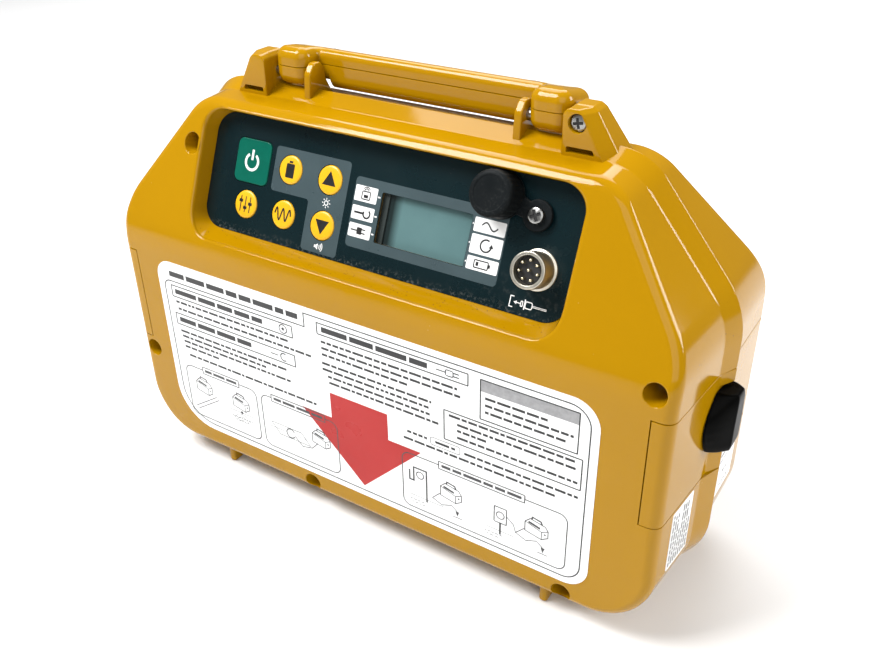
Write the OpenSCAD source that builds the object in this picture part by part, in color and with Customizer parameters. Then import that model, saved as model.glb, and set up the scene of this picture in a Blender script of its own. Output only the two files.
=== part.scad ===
// Portable signal transmitter of a buried-cable locating set: a two-part
// moulded case with a sloped control panel, a folding carry handle on top and
// a battery door with a paddle latch on each side.
// X runs to the viewer's right, Y from front to back, Z up. The origin is under
// the middle of the case, on the surface that the two foot rails stand on.

/* [Case] */
// Half width of the case walls
case_hw = 145; // [143:0.5:147]
// Half width of the case walls at the front plane, where the mould draft brings them in
front_hw = 141.2; // [140.5:0.1:142.5]
// Half width of the case walls at the rear plane
rear_hw = 144.8; // [144:0.1:145]
// Radius of the upright front and rear edges
edge_r = 5; // [4:0.5:6]
// Height at which the side walls turn into the sloped shoulders
shoulder_z = 141.5; // [139:0.5:144]
// Half width of the flat top
top_hw = 103.3; // [102.5:0.1:104.5]
// Height of the flat top
top_z = 193; // [192.5:0.1:193.4]
// Height of the case bottom above the foot rails
bottom_z = 7.5; // [6.5:0.5:8]
// Depth of the front half, from the parting plane to the front plane
front_d = 50; // [48:0.5:52]
// Depth of the rear half, from the parting plane to the rear plane
rear_d = 48; // [47:0.5:50]
// Lean of the sloped rear, from upright
rear_tilt = 26.9; // [26.4:0.1:27.4]
// Height at which the rear starts to lean forward
rear_crease_z = 130.6; // [129.6:0.1:131.6]
// Wall thickness of the mouldings
wall = 3; // [2.6:0.1:3.2]
// Height of the rim band along the parting plane
rim_h = 3.2; // [2.6:0.1:3.4]
// Width of the rim band
rim_w = 11; // [8:0.5:12]

/* [Panel] */
// Lean of the sloped front, from upright
tilt = 23.07; // [22.5:0.01:23.5]
// Height at which the front starts to lean back
crease_z = 128; // [127:0.5:129]
// Panel width
panel_w = 187; // [184:0.5:188]
// Panel height along the slope
panel_h = 55.5; // [54:0.5:56]
// Panel corner radius
panel_r = 10; // [8:0.5:12]
// Key diameter
key_d = 12.8; // [12:0.1:13.4]
// Key travel
key_travel = 0.8; // [0.5:0.1:0.8]

/* [Doors] */
// Lower seam of the side doors
door_z0 = 68; // [67.5:0.1:69]
// Upper seam of the side doors
door_z1 = 117; // [116:0.5:117.5]
// Distance of the door's front and rear seams from the middle
door_x = 133; // [132.5:0.1:133.5]
// Gap around each door
gap = 0.5; // [0.4:0.05:0.6]

/* [Handle] */
// Handle pivot height
pivot_z = 202; // [201.8:0.1:202.4]
// Handle pivot pin radius
pivot_r = 2.5; // [2.2:0.1:2.6]
// Half width over the handle's end knuckles
handle_hw = 72.4; // [71.4:0.5:72.4]

/* [Hidden] */
$fn = 48;
eps = 0.01;
st = sin(tilt);
ct = cos(tilt);
tt = tan(tilt);
pc = [-2.3, -27.7, 159.1];          // middle of the panel's face
ov_t = 2;                            // panel overlay thickness
floor_t = 2.5;                       // case floor under the overlay
keys = [[-47.4, 8.1], [-69.7, -11.8], [-47.4, -11.9], [-25.3, 7.9], [-25.3, -12.1]];
key_sq = [-69.5, 7.8];               // middle of the square key
key_sq_w = 19.6;
lcd = [24.35, -2.45];                // middle of the display window
lcd_w = 43.8;
lcd_h = 21.2;
conn = [78.3, -6.4];
cap_c = [57.6, 18.2];
cap_s = [74, 13.6];
// case screws: x, z, y of the countersunk floor, y of the surface
screws = [[-133.4, 60.8, -32], [-32.2, 15.2, -32], [103.2, 14.7, -32], [133, 127.4, -32],
          [-102.6, 171.5, -16], [79, 205, -7.2]];
pad_z0 = 83.5; pad_z1 = 109.8; pad_y = -4.2;
piv_x = 148.2; piv_pz = 106.5;         // paddle pivot
hin = [133, 47.7];                   // door hinge axis, x and y

// ---- rounded outlines -------------------------------------------------------
function unit(v) = v / norm(v);
function corner(A, P, B, r, n) =
  let (u = unit(A - P), v = unit(B - P), h = acos(u * v) / 2,
       c = P + unit(u + v) * (r / sin(h)), a = P + u * (r / tan(h)), b = P + v * (r / tan(h)),
       a0 = atan2(a[1] - c[1], a[0] - c[0]), d0 = atan2(b[1] - c[1], b[0] - c[0]) - a0,
       d = d0 > 180 ? d0 - 360 : d0 < -180 ? d0 + 360 : d0)
  [for (i = [0 : n]) c + r * [cos(a0 + d * i / n), sin(a0 + d * i / n)]];
function rounded(P, R, n = 6) = [for (i = [0 : len(P) - 1])
  each (R[i] <= 0 ? [P[i]] : corner(P[(i + len(P) - 1) % len(P)], P[i], P[(i + 1) % len(P)], R[i], n))];

// case outline seen from the front, moved inward by d
sx = case_hw - top_hw;
sz = top_z - shoulder_z;
sl = sqrt(sx * sx + sz * sz);
function half(d) = let (c = (sz * case_hw + sx * shoulder_z) / sl - d, w = case_hw - d, t = top_z - d)
  [[w, bottom_z + d], [w, (c - sz / sl * w) / (sx / sl)], [(c - sx / sl * t) / (sz / sl), t]];
function outline(d) = let (h = half(d)) rounded(
  concat(h, [for (i = [2 : -1 : 0]) [-h[i][0], h[i][1]]]),
  [31 - d, 34 - d, 21 - d, 21 - d, 34 - d, 31 - d]);
module case_slab(d, y0, y1)
  translate([0, y1, 0]) rotate([90, 0, 0]) linear_extrude(y1 - y0) polygon(outline(d));
module along_x(x0, x1) translate([x0, 0, 0]) rotate([90, 0, 90]) linear_extrude(x1 - x0) children();
module along_y(y0, y1) translate([0, y1, 0]) rotate([90, 0, 0]) linear_extrude(y1 - y0) children();
module rod_x(x0, x1, r, y, z) translate([x0, y, z]) rotate([0, 90, 0]) cylinder(h = x1 - x0, r = r);
module rod_y(y0, y1, r, x, z) translate([x, y1, z]) rotate([90, 0, 0]) cylinder(h = y1 - y0, r = r);
module round_rect(w, h, r) polygon(rounded([[w/2, -h/2], [w/2, h/2], [-w/2, h/2], [-w/2, -h/2]], [r, r, r, r]));
module both() { children(); mirror([1, 0, 0]) children(); }
module on_panel() translate(pc) rotate([90 - tilt, 0, 0]) children();

// front half: bottom edge, upright front, sloped front, flat top
function front_profile(d) = rounded(
  [[1, bottom_z + d], [1, top_z - d],
   [-front_d + d / ct + (top_z - d - crease_z) * tt, top_z - d],
   [-front_d + d, crease_z - d * tan(tilt / 2)], [-front_d + d, bottom_z + d]],
  [0, 0, 9 - d, 50, 7 - d]);
function rear_profile(d) = rounded(
  [[-1, bottom_z + d], [rear_d - d, bottom_z + d], [rear_d - d, rear_crease_z - d * tan(rear_tilt / 2)],
   [rear_d - d / cos(rear_tilt) - (top_z - d - rear_crease_z) * tan(rear_tilt), top_z - d], [-1, top_z - d]],
  [0, 6 - d, 60 - d, 4 - d, 0]);
function plan(d) = rounded(
  [[front_hw - d, -front_d + d], [case_hw - d, 0], [rear_hw - d, rear_d - d],
   [-rear_hw + d, rear_d - d], [-case_hw + d, 0], [-front_hw + d, -front_d + d]],
  [edge_r - d, 0, edge_r - d, edge_r - d, 0, edge_r - d]);
module plan_slab(d, z0, z1) translate([0, 0, z0]) linear_extrude(z1 - z0) polygon(plan(d));
module front_form(d) intersection() {
  case_slab(d, -front_d, d > 0 ? eps : 0);
  along_x(-160, 160) polygon(front_profile(d));
  plan_slab(d, 0, 220);
}
module rear_form(d) intersection() {
  case_slab(d, d > 0 ? -eps : 0, rear_d);
  along_x(-160, 160) polygon(rear_profile(d));
  plan_slab(d, 0, 220);
}
module rim_band() difference() {
  case_slab(-rim_h, -rim_w, 0);
  case_slab(wall, -rim_w - 1, 1);
}
module door_cut() both() translate([door_x - gap / 2, -60, door_z0 - gap / 2])
  cube([30, 108 + eps, door_z1 - door_z0 + gap]);

// ---- ears and ribs that carry the handle ------------------------------------
module ear() intersection() {
  along_y(-10, 10) polygon(rounded(
    [[73, top_z - 2], [94.5, top_z - 2], [83.4, 210.4], [73, 210.4]], [0, 0, 4, 3]));
  along_x(70, 100) polygon([[-10, top_z - 2], [9.4, top_z - 2], [5, 211], [-10, 211]]);
}
module rib() along_x(50.5, 54) union() {
  translate([-0.9, 202]) circle(r = 5.9);
  polygon([[-7, top_z - 2], [10.5, top_z - 2], [5, 199.2], [5, 202], [-6.4, 203.2]]);
}

// ---- the case ---------------------------------------------------------------
module front_shell() color([0.80, 0.56, 0.07]) difference() {
  union() {
    difference() { front_form(0); front_form(wall); }
    rim_band();
    both() { ear(); rib(); }
    intersection() {
      front_form(0);
      on_panel() translate([0, 0, -ov_t - floor_t]) linear_extrude(30) round_rect(panel_w + 6, panel_h + 6, panel_r + 3);
    }
    intersection() {
      front_form(0);
      for (s = [0 : 4]) rod_y(-front_d, 0, 6.2, screws[s][0], screws[s][1]);
    }
    on_panel() for (x = [-80, 78], y = [-20, 20]) translate([x, y, -12.4]) cylinder(h = 8.4, r = 3);
    both() translate([91, -front_d + 4.5, 0]) cube([4, 32, 12]);
  }
  // recess, window, keys and connector
  on_panel() {
    translate([0, 0, -ov_t]) linear_extrude(40) round_rect(panel_w + 0.6, panel_h + 0.6, panel_r + 0.3);
    translate([lcd[0] - lcd_w / 2, lcd[1] - lcd_h / 2, -10]) cube([lcd_w, lcd_h, 10]);
    for (k = keys) translate([k[0], k[1], -10]) cylinder(h = 10, r = 3.2);
    translate([key_sq[0], key_sq[1], -10]) cylinder(h = 10, r = 3.2);
    translate([conn[0], conn[1], -10]) cylinder(h = 10, r = 6.05);
    translate([cap_s[0], cap_s[1], -10]) cylinder(h = 10, r = 2.12);
  }
  for (s = [0 : 5]) {
    rod_y(-60, screws[s][2], s == 5 ? 4.1 : 4.5, screws[s][0], screws[s][1]);
    rod_y(-60, 12, 2.1, screws[s][0], screws[s][1]);
  }
  both() {
    rod_x(50, 76.2, pivot_r + 0.02, 0, pivot_z);
    translate([75, -20, top_z + 0.5]) cube([14.5, 40, 3]);
  }
  door_cut();
  // ears and ribs stand on the rear half behind the parting plane
  translate([-200, 0, -1]) cube([400, 60, top_z + 1]);
}

module rear_shell() color([0.78, 0.54, 0.07]) difference() {
  union() {
    difference() {
      union() {
        difference() { rear_form(0); rear_form(wall); }
        intersection() {
          rear_form(0);
          for (s = [0 : 4]) rod_y(0, rear_d, 6.2, screws[s][0], screws[s][1]);
        }
        both() {
          translate([91, 8, 0]) cube([4, 32, 12]);
          translate([86, 0, 30]) cube([8, rear_d - 1.5, 10]);
        }
      }
      door_cut();
      both() translate([hin[0], hin[1], 81.6]) cylinder(h = 20.8, r = 3);
    }
    // outer knuckles of the door hinge
    both() for (z = [72, 102.4]) {
      translate([hin[0], hin[1], z]) cylinder(h = 9.6, r = 2.6);
      translate([128, rear_d - 3, z]) cube([hin[0] - 128, hin[1] - rear_d + 3, 9.6]);
    }
  }
  for (s = [0 : 4]) rod_y(-1, 24, 2.05, screws[s][0], screws[s][1]);
  both() {
    translate([hin[0], hin[1], 60]) cylinder(h = 60, r = 1.22);
    rod_x(80, 100, 6.02, 0, 35);
  }
  // groove for the seal
  difference() {
    case_slab(0.9, -1, 1.2);
    case_slab(2.1, -2, 2);
  }
}

module case_gasket() color([0.10, 0.10, 0.10]) difference() {
  case_slab(0.95, 0, 1.15);
  case_slab(2.05, -1, 2);
  door_cut();
}

module case_screws() color([0.72, 0.72, 0.70]) for (s = [0 : 5]) let (y = screws[s][2]) difference() {
  union() {
    rod_y(y - 2.8, y, 3.6, screws[s][0], screws[s][1]);
    rod_y(y - 1, s == 5 ? 7 : 22, 2, screws[s][0], screws[s][1]);
  }
  for (a = [0, 90]) translate([screws[s][0], y - 2.8, screws[s][1]]) rotate([0, a, 0]) cube([4, 3, 0.9], center = true);
}

// ---- the panel --------------------------------------------------------------
module panel_overlay() color([0.05, 0.09, 0.13]) on_panel() difference() {
  translate([0, 0, -ov_t]) linear_extrude(ov_t) round_rect(panel_w, panel_h, panel_r);
  translate([lcd[0] - lcd_w / 2, lcd[1] - lcd_h / 2, -5]) cube([lcd_w, lcd_h, 10]);
  for (k = keys) translate([k[0], k[1], -5]) cylinder(h = 10, r = key_d / 2 + 0.3);
  translate([key_sq[0], key_sq[1], -5]) linear_extrude(10) round_rect(key_sq_w + 0.6, key_sq_w + 0.6, 2.3);
  translate([conn[0], conn[1], -5]) cylinder(h = 10, r = 6.05);
  translate([cap_s[0], cap_s[1], -5]) cylinder(h = 10, r = 2.12);
}
module lcd_window() color([0.55, 0.65, 0.66, 0.4]) on_panel()
  translate([lcd[0] - lcd_w / 2, lcd[1] - lcd_h / 2, -0.9]) cube([lcd_w, lcd_h, 0.8]);
module lcd_module() color([0.42, 0.50, 0.50]) on_panel() {
  translate([lcd[0] - 27, lcd[1] - 15, -9.5]) cube([54, 30, 5]);
}
module keypad_board() color([0.10, 0.32, 0.20]) on_panel() difference() {
  translate([-82, -25, -6.1]) cube([76, 50, 1.6]);
  for (x = [-80], y = [-20, 20]) translate([x, y, -8]) cylinder(h = 6, r = 3.3);
}
module main_board() color([0.08, 0.30, 0.18]) on_panel() {
  translate([-86, -25, -14]) cube([172, 50, 1.6]);
  for (i = [0 : 4]) translate([-60 + i * 22, -14, -17]) cube([12, 12, 3]);
}
module buzzer() color([0.12, 0.12, 0.12]) rod_y(39, rear_d - wall, 14, 60, 50);

module round_key(i) on_panel() translate([keys[i][0], keys[i][1], 0]) {
  translate([0, 0, -1]) cylinder(h = 1.1, r = key_d / 2);
  translate([0, 0, 0.1]) cylinder(h = 0.4, r1 = key_d / 2, r2 = key_d / 2 - 0.6);
  translate([0, 0, -3.4]) cylinder(h = 2.5, r = 2.6);
}
module key_power() color([0.04, 0.42, 0.30]) on_panel() translate([key_sq[0], key_sq[1], 0]) {
  translate([0, 0, -1]) linear_extrude(1.4) round_rect(key_sq_w, key_sq_w, 2);
  translate([0, 0, -3.4]) cylinder(h = 2.5, r = 2.6);
}
module key_mode() color([0.93, 0.68, 0.06]) round_key(0);
module key_adjust() color([0.93, 0.68, 0.06]) round_key(1);
module key_frequency() color([0.93, 0.68, 0.06]) round_key(2);
module key_up() color([0.93, 0.68, 0.06]) round_key(3);
module key_down() color([0.93, 0.68, 0.06]) round_key(4);

// ---- the round connector and its dust cap -----------------------------------
module connector_body() color([0.66, 0.64, 0.58]) on_panel() translate([conn[0], conn[1], 0]) difference() {
  union() {
    cylinder(h = 1.6, r = 8.4);
    cylinder(h = 10, r = 7.3);
    translate([0, 0, -12]) cylinder(h = 13, r = 6);
  }
  translate([0, 0, 2]) cylinder(h = 10, r = 6);
}
module connector_insert() color([0.04, 0.04, 0.04]) on_panel() translate([conn[0], conn[1], 2])
  cylinder(h = 4.4, r = 5.98);
module connector_pins() color([0.85, 0.83, 0.75]) on_panel() translate([conn[0], conn[1], 6.4]) {
  cylinder(h = 2.6, r = 0.5);
  for (i = [0 : 6]) rotate(90 + i * 51.43) translate([4, 0, 0]) cylinder(h = 2.6, r = 0.5);
}
module connector_nut() color([0.70, 0.68, 0.62]) on_panel() translate([conn[0], conn[1], -7.3]) difference() {
  cylinder(h = 2.8, r = 8.6, $fn = 6);
  translate([0, 0, -1]) cylinder(h = 5, r = 6.02);
}
module dust_cap() color([0.10, 0.10, 0.10]) on_panel() {
  v = cap_c - cap_s;
  difference() {
    union() {
      translate([cap_c[0], cap_c[1], 0.7]) cylinder(h = 12.6, r = 9.2);
      translate([cap_s[0], cap_s[1], 0.7]) cylinder(h = 1.9, r = 6.2);
      translate([cap_s[0], cap_s[1], 0.7]) rotate(atan2(v[1], v[0])) translate([0, -3.6, 0]) cube([norm(v), 7.2, 1.9]);
    }
    translate([cap_s[0], cap_s[1], -1]) cylinder(h = 10, r = 2.15);
    translate([cap_c[0], cap_c[1], -1]) cylinder(h = 11.5, r = 7.5);
  }
}
module cap_screw() color([0.75, 0.75, 0.73]) on_panel() translate([cap_s[0], cap_s[1], 0]) difference() {
  union() {
    translate([0, 0, 3]) cylinder(h = 1.7, r = 3.1);
    translate([0, 0, -4.5]) cylinder(h = 8, r = 2.1);
  }
  for (a = [0, 90]) translate([0, 0, 4.5]) rotate(a) cube([3.6, 0.8, 1.6], center = true);
}

// ---- labels -----------------------------------------------------------------
module front_label() color([0.95, 0.95, 0.94]) along_y(-front_d - 0.3, -front_d) polygon(rounded(
  [[114.7, 22], [114.7, 116.4], [-119.8, 116.4], [-119.8, 22]], [11, 12, 9, 22]));
module side_label() color([0.94, 0.94, 0.92]) translate([case_hw, 0, 0])
  rotate([0, 0, -atan((case_hw - front_hw) / front_d)]) along_x(0, 0.25)
  polygon([[-36.6, 36.5], [-17.5, 36.5], [-17.5, 66.6], [-36.6, 66.6]]);
module rear_label() color([0.94, 0.94, 0.92]) translate([case_hw, 0, 0])
  rotate([0, 0, atan((case_hw - rear_hw) / rear_d)]) along_x(0, 0.25)
  polygon([[12, 40], [35, 40], [35, 65.5], [12, 65.5]]);

// ---- handle -----------------------------------------------------------------
module handle_solid() {
  both() along_x(54.8, handle_hw) polygon(rounded(
    [[20.5, 197.7], [20.5, 209.2], [5, 213.4], [-4.5, 213.4], [-4.5, 196.8]], [5, 6, 12, 6, 5]));
  along_x(-54.8, 54.8) polygon(rounded([[20.5, 197.7], [20.5, 209.2], [6.2, 213.1], [6.2, 197.7]], [5, 6, 5, 5]));
  // the bar is deeper between the ribs
  along_x(-49, 49) polygon(rounded([[20.5, 194.6], [20.5, 209.2], [6.2, 213.1], [6.2, 194.6]], [5, 6, 5, 5]));
}
module handle_cuts() both() {
  rod_x(50, 80, pivot_r + 0.05, 0, pivot_z);
  translate([50, 13, 190]) cylinder(h = 30, r = 1.6);
  translate([50, 13, 209]) cylinder(h = 7, r = 3.1);
}
module handle_upper() color([0.84, 0.59, 0.07]) difference() {
  intersection() { handle_solid(); translate([-80, -20, 205.5]) cube([160, 60, 20]); }
  handle_cuts();
}
module handle_lower() color([0.82, 0.57, 0.07]) difference() {
  intersection() { handle_solid(); translate([-80, -20, 190]) cube([160, 60, 15.5]); }
  handle_cuts();
}
module handle_screws() color([0.5, 0.5, 0.5]) both() {
  translate([50, 13, 209]) cylinder(h = 1.4, r = 2.9);
  translate([50, 13, 199.2]) cylinder(h = 10, r = 1.55);
}
module handle_pins() color([0.7, 0.7, 0.7]) both() rod_x(50.6, 76, pivot_r, 0, pivot_z);

// ---- side doors -------------------------------------------------------------
module door_right() difference() {
  union() {
    intersection() {
      difference() {
        plan_slab(0, door_z0 + gap / 2, door_z1 - gap / 2);
        plan_slab(wall, 0, 200);
      }
      translate([door_x + gap / 2, -70, 0]) cube([30, 140, 200]);
    }
    // rim band across the door, cut away behind the paddle
    difference() {
      translate([case_hw - 1, -rim_w, door_z0 + gap / 2]) cube([1 + rim_h, rim_w, door_z1 - door_z0 - gap]);
      translate([case_hw, -30, pad_z0 - 1.2]) cube([20, 60, pad_z1 - pad_z0 + 2.4]);
    }
    // pivot cheeks of the paddle
    for (y = [-3.6, 3.6]) translate([case_hw - 1, pad_y + y - 1.1, piv_pz - 2.4]) cube([5.4, 2.2, 4.8]);
    // middle knuckle of the hinge
    translate([hin[0], hin[1], 82]) cylinder(h = 20, r = 2.6);
    translate([hin[0], rear_d - 3, 82]) cube([4, hin[1] - rear_d + 3, 20]);
  }
  // clearance round the case's knuckles
  for (z = [71.6, 102]) translate([120, 40, z]) cube([16, 20, 10.4]);
  for (z = [60, 112]) translate([120, 40, z]) cube([13.6, 20, 12]);
  translate([hin[0], hin[1], 60]) cylinder(h = 60, r = 1.25);
  rod_y(pad_y - 9, pad_y + 9, 1.22, piv_x, piv_pz);
  translate([case_hw - 6, pad_y - 2.3, piv_pz - 7]) cube([12, 4.6, 11.4]);
}
module right_door() color([0.80, 0.56, 0.07]) door_right();
module left_door() color([0.80, 0.56, 0.07]) mirror([1, 0, 0]) door_right();
module paddle() difference() {
  intersection() {
    along_y(-40, 40) polygon(rounded([[145.6, pad_z0], [153.2, pad_z0], [153.2, pad_z1], [145.6, pad_z1]], [0.5, 2, 2.4, 2.0]));
    linear_extrude(200) polygon([[145.6, pad_y - 13.5], [149, pad_y - 10], [153.2, pad_y - 4.2],
      [153.2, pad_y + 4.2], [149, pad_y + 10], [145.6, pad_y + 13.5]]);
  }
  for (y = [-3.6, 3.6]) translate([144, pad_y + y - 1.5, piv_pz - 4]) cube([7, 3, 10]);
  rod_y(-40, 40, 1.25, piv_x, piv_pz);
}
module hook() along_y(pad_y - 1.8, pad_y + 1.8)
  polygon([[145.6, piv_pz - 2.4], [145.6, piv_pz - 0.2], [141.2, piv_pz - 0.2], [141.2, piv_pz + 5.8], [139.2, piv_pz + 5.8], [139.2, piv_pz - 2.4]]);
module right_paddle() color([0.05, 0.05, 0.05]) paddle();
module left_paddle() color([0.05, 0.05, 0.05]) mirror([1, 0, 0]) paddle();
module right_hook() color([0.6, 0.6, 0.6]) hook();
module left_hook() color([0.6, 0.6, 0.6]) mirror([1, 0, 0]) hook();
module latch_pin() rod_y(pad_y - 6.2, pad_y + 6.2, 1.2, piv_x, piv_pz);
module right_latch_pin() color([0.7, 0.7, 0.7]) latch_pin();
module left_latch_pin() color([0.7, 0.7, 0.7]) mirror([1, 0, 0]) latch_pin();
module hinge_pins() color([0.7, 0.7, 0.7]) both() translate([hin[0], hin[1], 72.6]) cylinder(h = 42, r = 1.2);

// ---- inside -----------------------------------------------------------------
module battery_trays() color([0.13, 0.13, 0.13]) both() {
  difference() {
    translate([7, -37, 73]) cube([129, 74, 37.4]);
    translate([9, -35, 75]) cube([140, 70, 33.4]);
  }
  for (x = [20, 110]) translate([x, 37, 86]) cube([10, rear_d - wall - 37, 10]);
}
module battery_cells() color([0.25, 0.25, 0.28]) both() for (y = [-16.9, 16.9], i = [0, 1]) {
  rod_x(11 + i * 60.5, 11 + i * 60.5 + 58.8, 16.2, y, 91.3);
  rod_x(11 + i * 60.5 + 58.8, 11 + i * 60.5 + 60.5, 4.7, y, 91.3);
}
module battery_contacts() color([0.8, 0.75, 0.55]) both() {
  for (y = [-16.9, 16.9]) rod_x(9, 11, 9, y, 91.3);
}
module ferrite_rod() color([0.20, 0.20, 0.21]) rod_x(-110, 110, 6, 0, 35);
module antenna_winding() color([0.62, 0.32, 0.14]) difference() {
  rod_x(-60, 60, 8.5, 0, 35);
  rod_x(-61, 61, 6.02, 0, 35);
}

front_shell();
rear_shell();
case_gasket();
case_screws();
panel_overlay();
lcd_window();
lcd_module();
keypad_board();
main_board();
buzzer();
key_power();
key_mode();
key_adjust();
key_frequency();
key_up();
key_down();
connector_body();
connector_insert();
connector_pins();
connector_nut();
dust_cap();
cap_screw();
front_label();
side_label();
rear_label();
handle_upper();
handle_lower();
handle_screws();
handle_pins();
right_door();
right_paddle();
right_hook();
left_door();
left_paddle();
left_hook();
right_latch_pin();
left_latch_pin();
hinge_pins();
battery_trays();
battery_cells();
battery_contacts();
ferrite_rod();
antenna_winding();
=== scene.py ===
import math

import bmesh
import bpy
import numpy as np
from mathutils import Matrix, Vector
from mathutils.geometry import delaunay_2d_cdt


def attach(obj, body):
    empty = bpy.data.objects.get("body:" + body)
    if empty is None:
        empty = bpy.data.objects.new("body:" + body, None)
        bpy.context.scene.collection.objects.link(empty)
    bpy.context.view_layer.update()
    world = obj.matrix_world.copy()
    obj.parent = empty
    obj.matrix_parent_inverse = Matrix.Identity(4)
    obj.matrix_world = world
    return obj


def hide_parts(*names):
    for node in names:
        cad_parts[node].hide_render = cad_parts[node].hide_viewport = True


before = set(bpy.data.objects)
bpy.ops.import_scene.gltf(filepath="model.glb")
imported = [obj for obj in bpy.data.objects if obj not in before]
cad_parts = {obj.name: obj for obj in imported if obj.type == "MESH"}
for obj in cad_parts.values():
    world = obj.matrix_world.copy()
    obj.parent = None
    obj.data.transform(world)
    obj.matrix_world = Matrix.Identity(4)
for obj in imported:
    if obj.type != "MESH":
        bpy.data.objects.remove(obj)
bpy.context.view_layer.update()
scene = bpy.context.scene
MM = 0.001

# ------------------------------------------------------------------ camera
cam = bpy.data.cameras.new("camera")
cam.sensor_fit = "HORIZONTAL"
cam.sensor_width = 36.0
cam.lens = 38.68
cam.clip_start = 0.01
cam_ob = bpy.data.objects.new("camera", cam)
scene.collection.objects.link(cam_ob)
right = Vector((0.8387, 0.5444, -0.0150)).normalized()
back = Vector((0.4747, -0.7172, 0.5101)).normalized()
up = back.cross(right).normalized()
right = up.cross(back).normalized()
cam_ob.matrix_world = Matrix(
    (
        (right.x, up.x, back.x, 0.2169),
        (right.y, up.y, back.y, -0.3150),
        (right.z, up.z, back.z, 0.3163),
        (0, 0, 0, 1),
    )
)
scene.camera = cam_ob


# ------------------------------------------------------------------ materials
def new_mat(name, base, rough, metallic=0.0, ior=1.5, coat=0.0):
    m = bpy.data.materials.new(name)
    m.use_nodes = True
    nt = m.node_tree
    b = nt.nodes["Principled BSDF"]
    b.inputs["Base Color"].default_value = (*base, 1)
    b.inputs["Roughness"].default_value = rough
    b.inputs["Metallic"].default_value = metallic
    b.inputs["IOR"].default_value = ior
    if coat:
        b.inputs["Coat Weight"].default_value = coat
        b.inputs["Coat Roughness"].default_value = 0.05
    return m, nt, b


def coords(nt):
    return nt.nodes.new("ShaderNodeTexCoord").outputs["Object"]


def noise(nt, scale, detail=3.0, rough=0.55, src=None):
    n = nt.nodes.new("ShaderNodeTexNoise")
    n.inputs["Scale"].default_value = scale
    n.inputs["Detail"].default_value = detail
    n.inputs["Roughness"].default_value = rough
    nt.links.new(src if src else coords(nt), n.inputs["Vector"])
    return n.outputs["Fac"]


def ramp(nt, src, stops):
    r = nt.nodes.new("ShaderNodeValToRGB")
    e = r.color_ramp.elements
    while len(e) < len(stops):
        e.new(0.5)
    for k, (p, c) in zip(e, stops):
        k.position = p
        k.color = (*c, 1) if len(c) == 3 else c
    nt.links.new(src, r.inputs["Fac"])
    return r.outputs["Color"]


def span(nt, src, a, b, lo=0.0, hi=1.0):
    r = nt.nodes.new("ShaderNodeMapRange")
    r.inputs["From Min"].default_value = a
    r.inputs["From Max"].default_value = b
    r.inputs["To Min"].default_value = lo
    r.inputs["To Max"].default_value = hi
    nt.links.new(src, r.inputs["Value"])
    return r.outputs["Result"]


def mix(nt, fac, a, b):
    m = nt.nodes.new("ShaderNodeMix")
    m.data_type = "RGBA"
    nt.links.new(fac, m.inputs["Factor"])
    for s, v in (("A", a), ("B", b)):
        k = [i for i in m.inputs if i.name == s and i.type == "RGBA"][0]
        if isinstance(v, tuple):
            k.default_value = (*v, 1)
        else:
            nt.links.new(v, k)
    return [o for o in m.outputs if o.type == "RGBA"][0]


def math_node(nt, op, a, b):
    m = nt.nodes.new("ShaderNodeMath")
    m.operation = op
    for i, v in enumerate((a, b)):
        if isinstance(v, (int, float)):
            m.inputs[i].default_value = v
        else:
            nt.links.new(v, m.inputs[i])
    return m.outputs[0]


def bump(nt, b, height, strength, dist):
    n = nt.nodes.new("ShaderNodeBump")
    n.inputs["Strength"].default_value = strength
    n.inputs["Distance"].default_value = dist
    nt.links.new(height, n.inputs["Height"])
    nt.links.new(n.outputs["Normal"], b.inputs["Normal"])


def shade(nt, b, dark, light, scale, rough=None, rscale=40.0, bscale=None, bstr=0.1, bdist=0.0002):
    """Colour drifting between two close tones, roughness drifting between two values and a fine bump."""
    nt.links.new(mix(nt, span(nt, noise(nt, scale, 4), 0.3, 0.7), dark, light), b.inputs["Base Color"])
    if rough:
        nt.links.new(span(nt, noise(nt, rscale, 5), 0.3, 0.72, *rough), b.inputs["Roughness"])
    if bscale:
        bump(nt, b, noise(nt, bscale, 3), bstr, bdist)


def specks(nt, c, scale, near, far, patch, lo, hi):
    """Small scattered dots, gathered in patches."""
    v = nt.nodes.new("ShaderNodeTexVoronoi")
    v.inputs["Scale"].default_value = scale
    nt.links.new(c, v.inputs["Vector"])
    return math_node(nt, "MULTIPLY", span(nt, v.outputs["Distance"], far, near), span(nt, noise(nt, patch, 3, src=c), lo, hi))


def axes(nt, c):
    n = nt.nodes.new("ShaderNodeSeparateXYZ")
    nt.links.new(c, n.inputs["Vector"])
    return n.outputs


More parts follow.
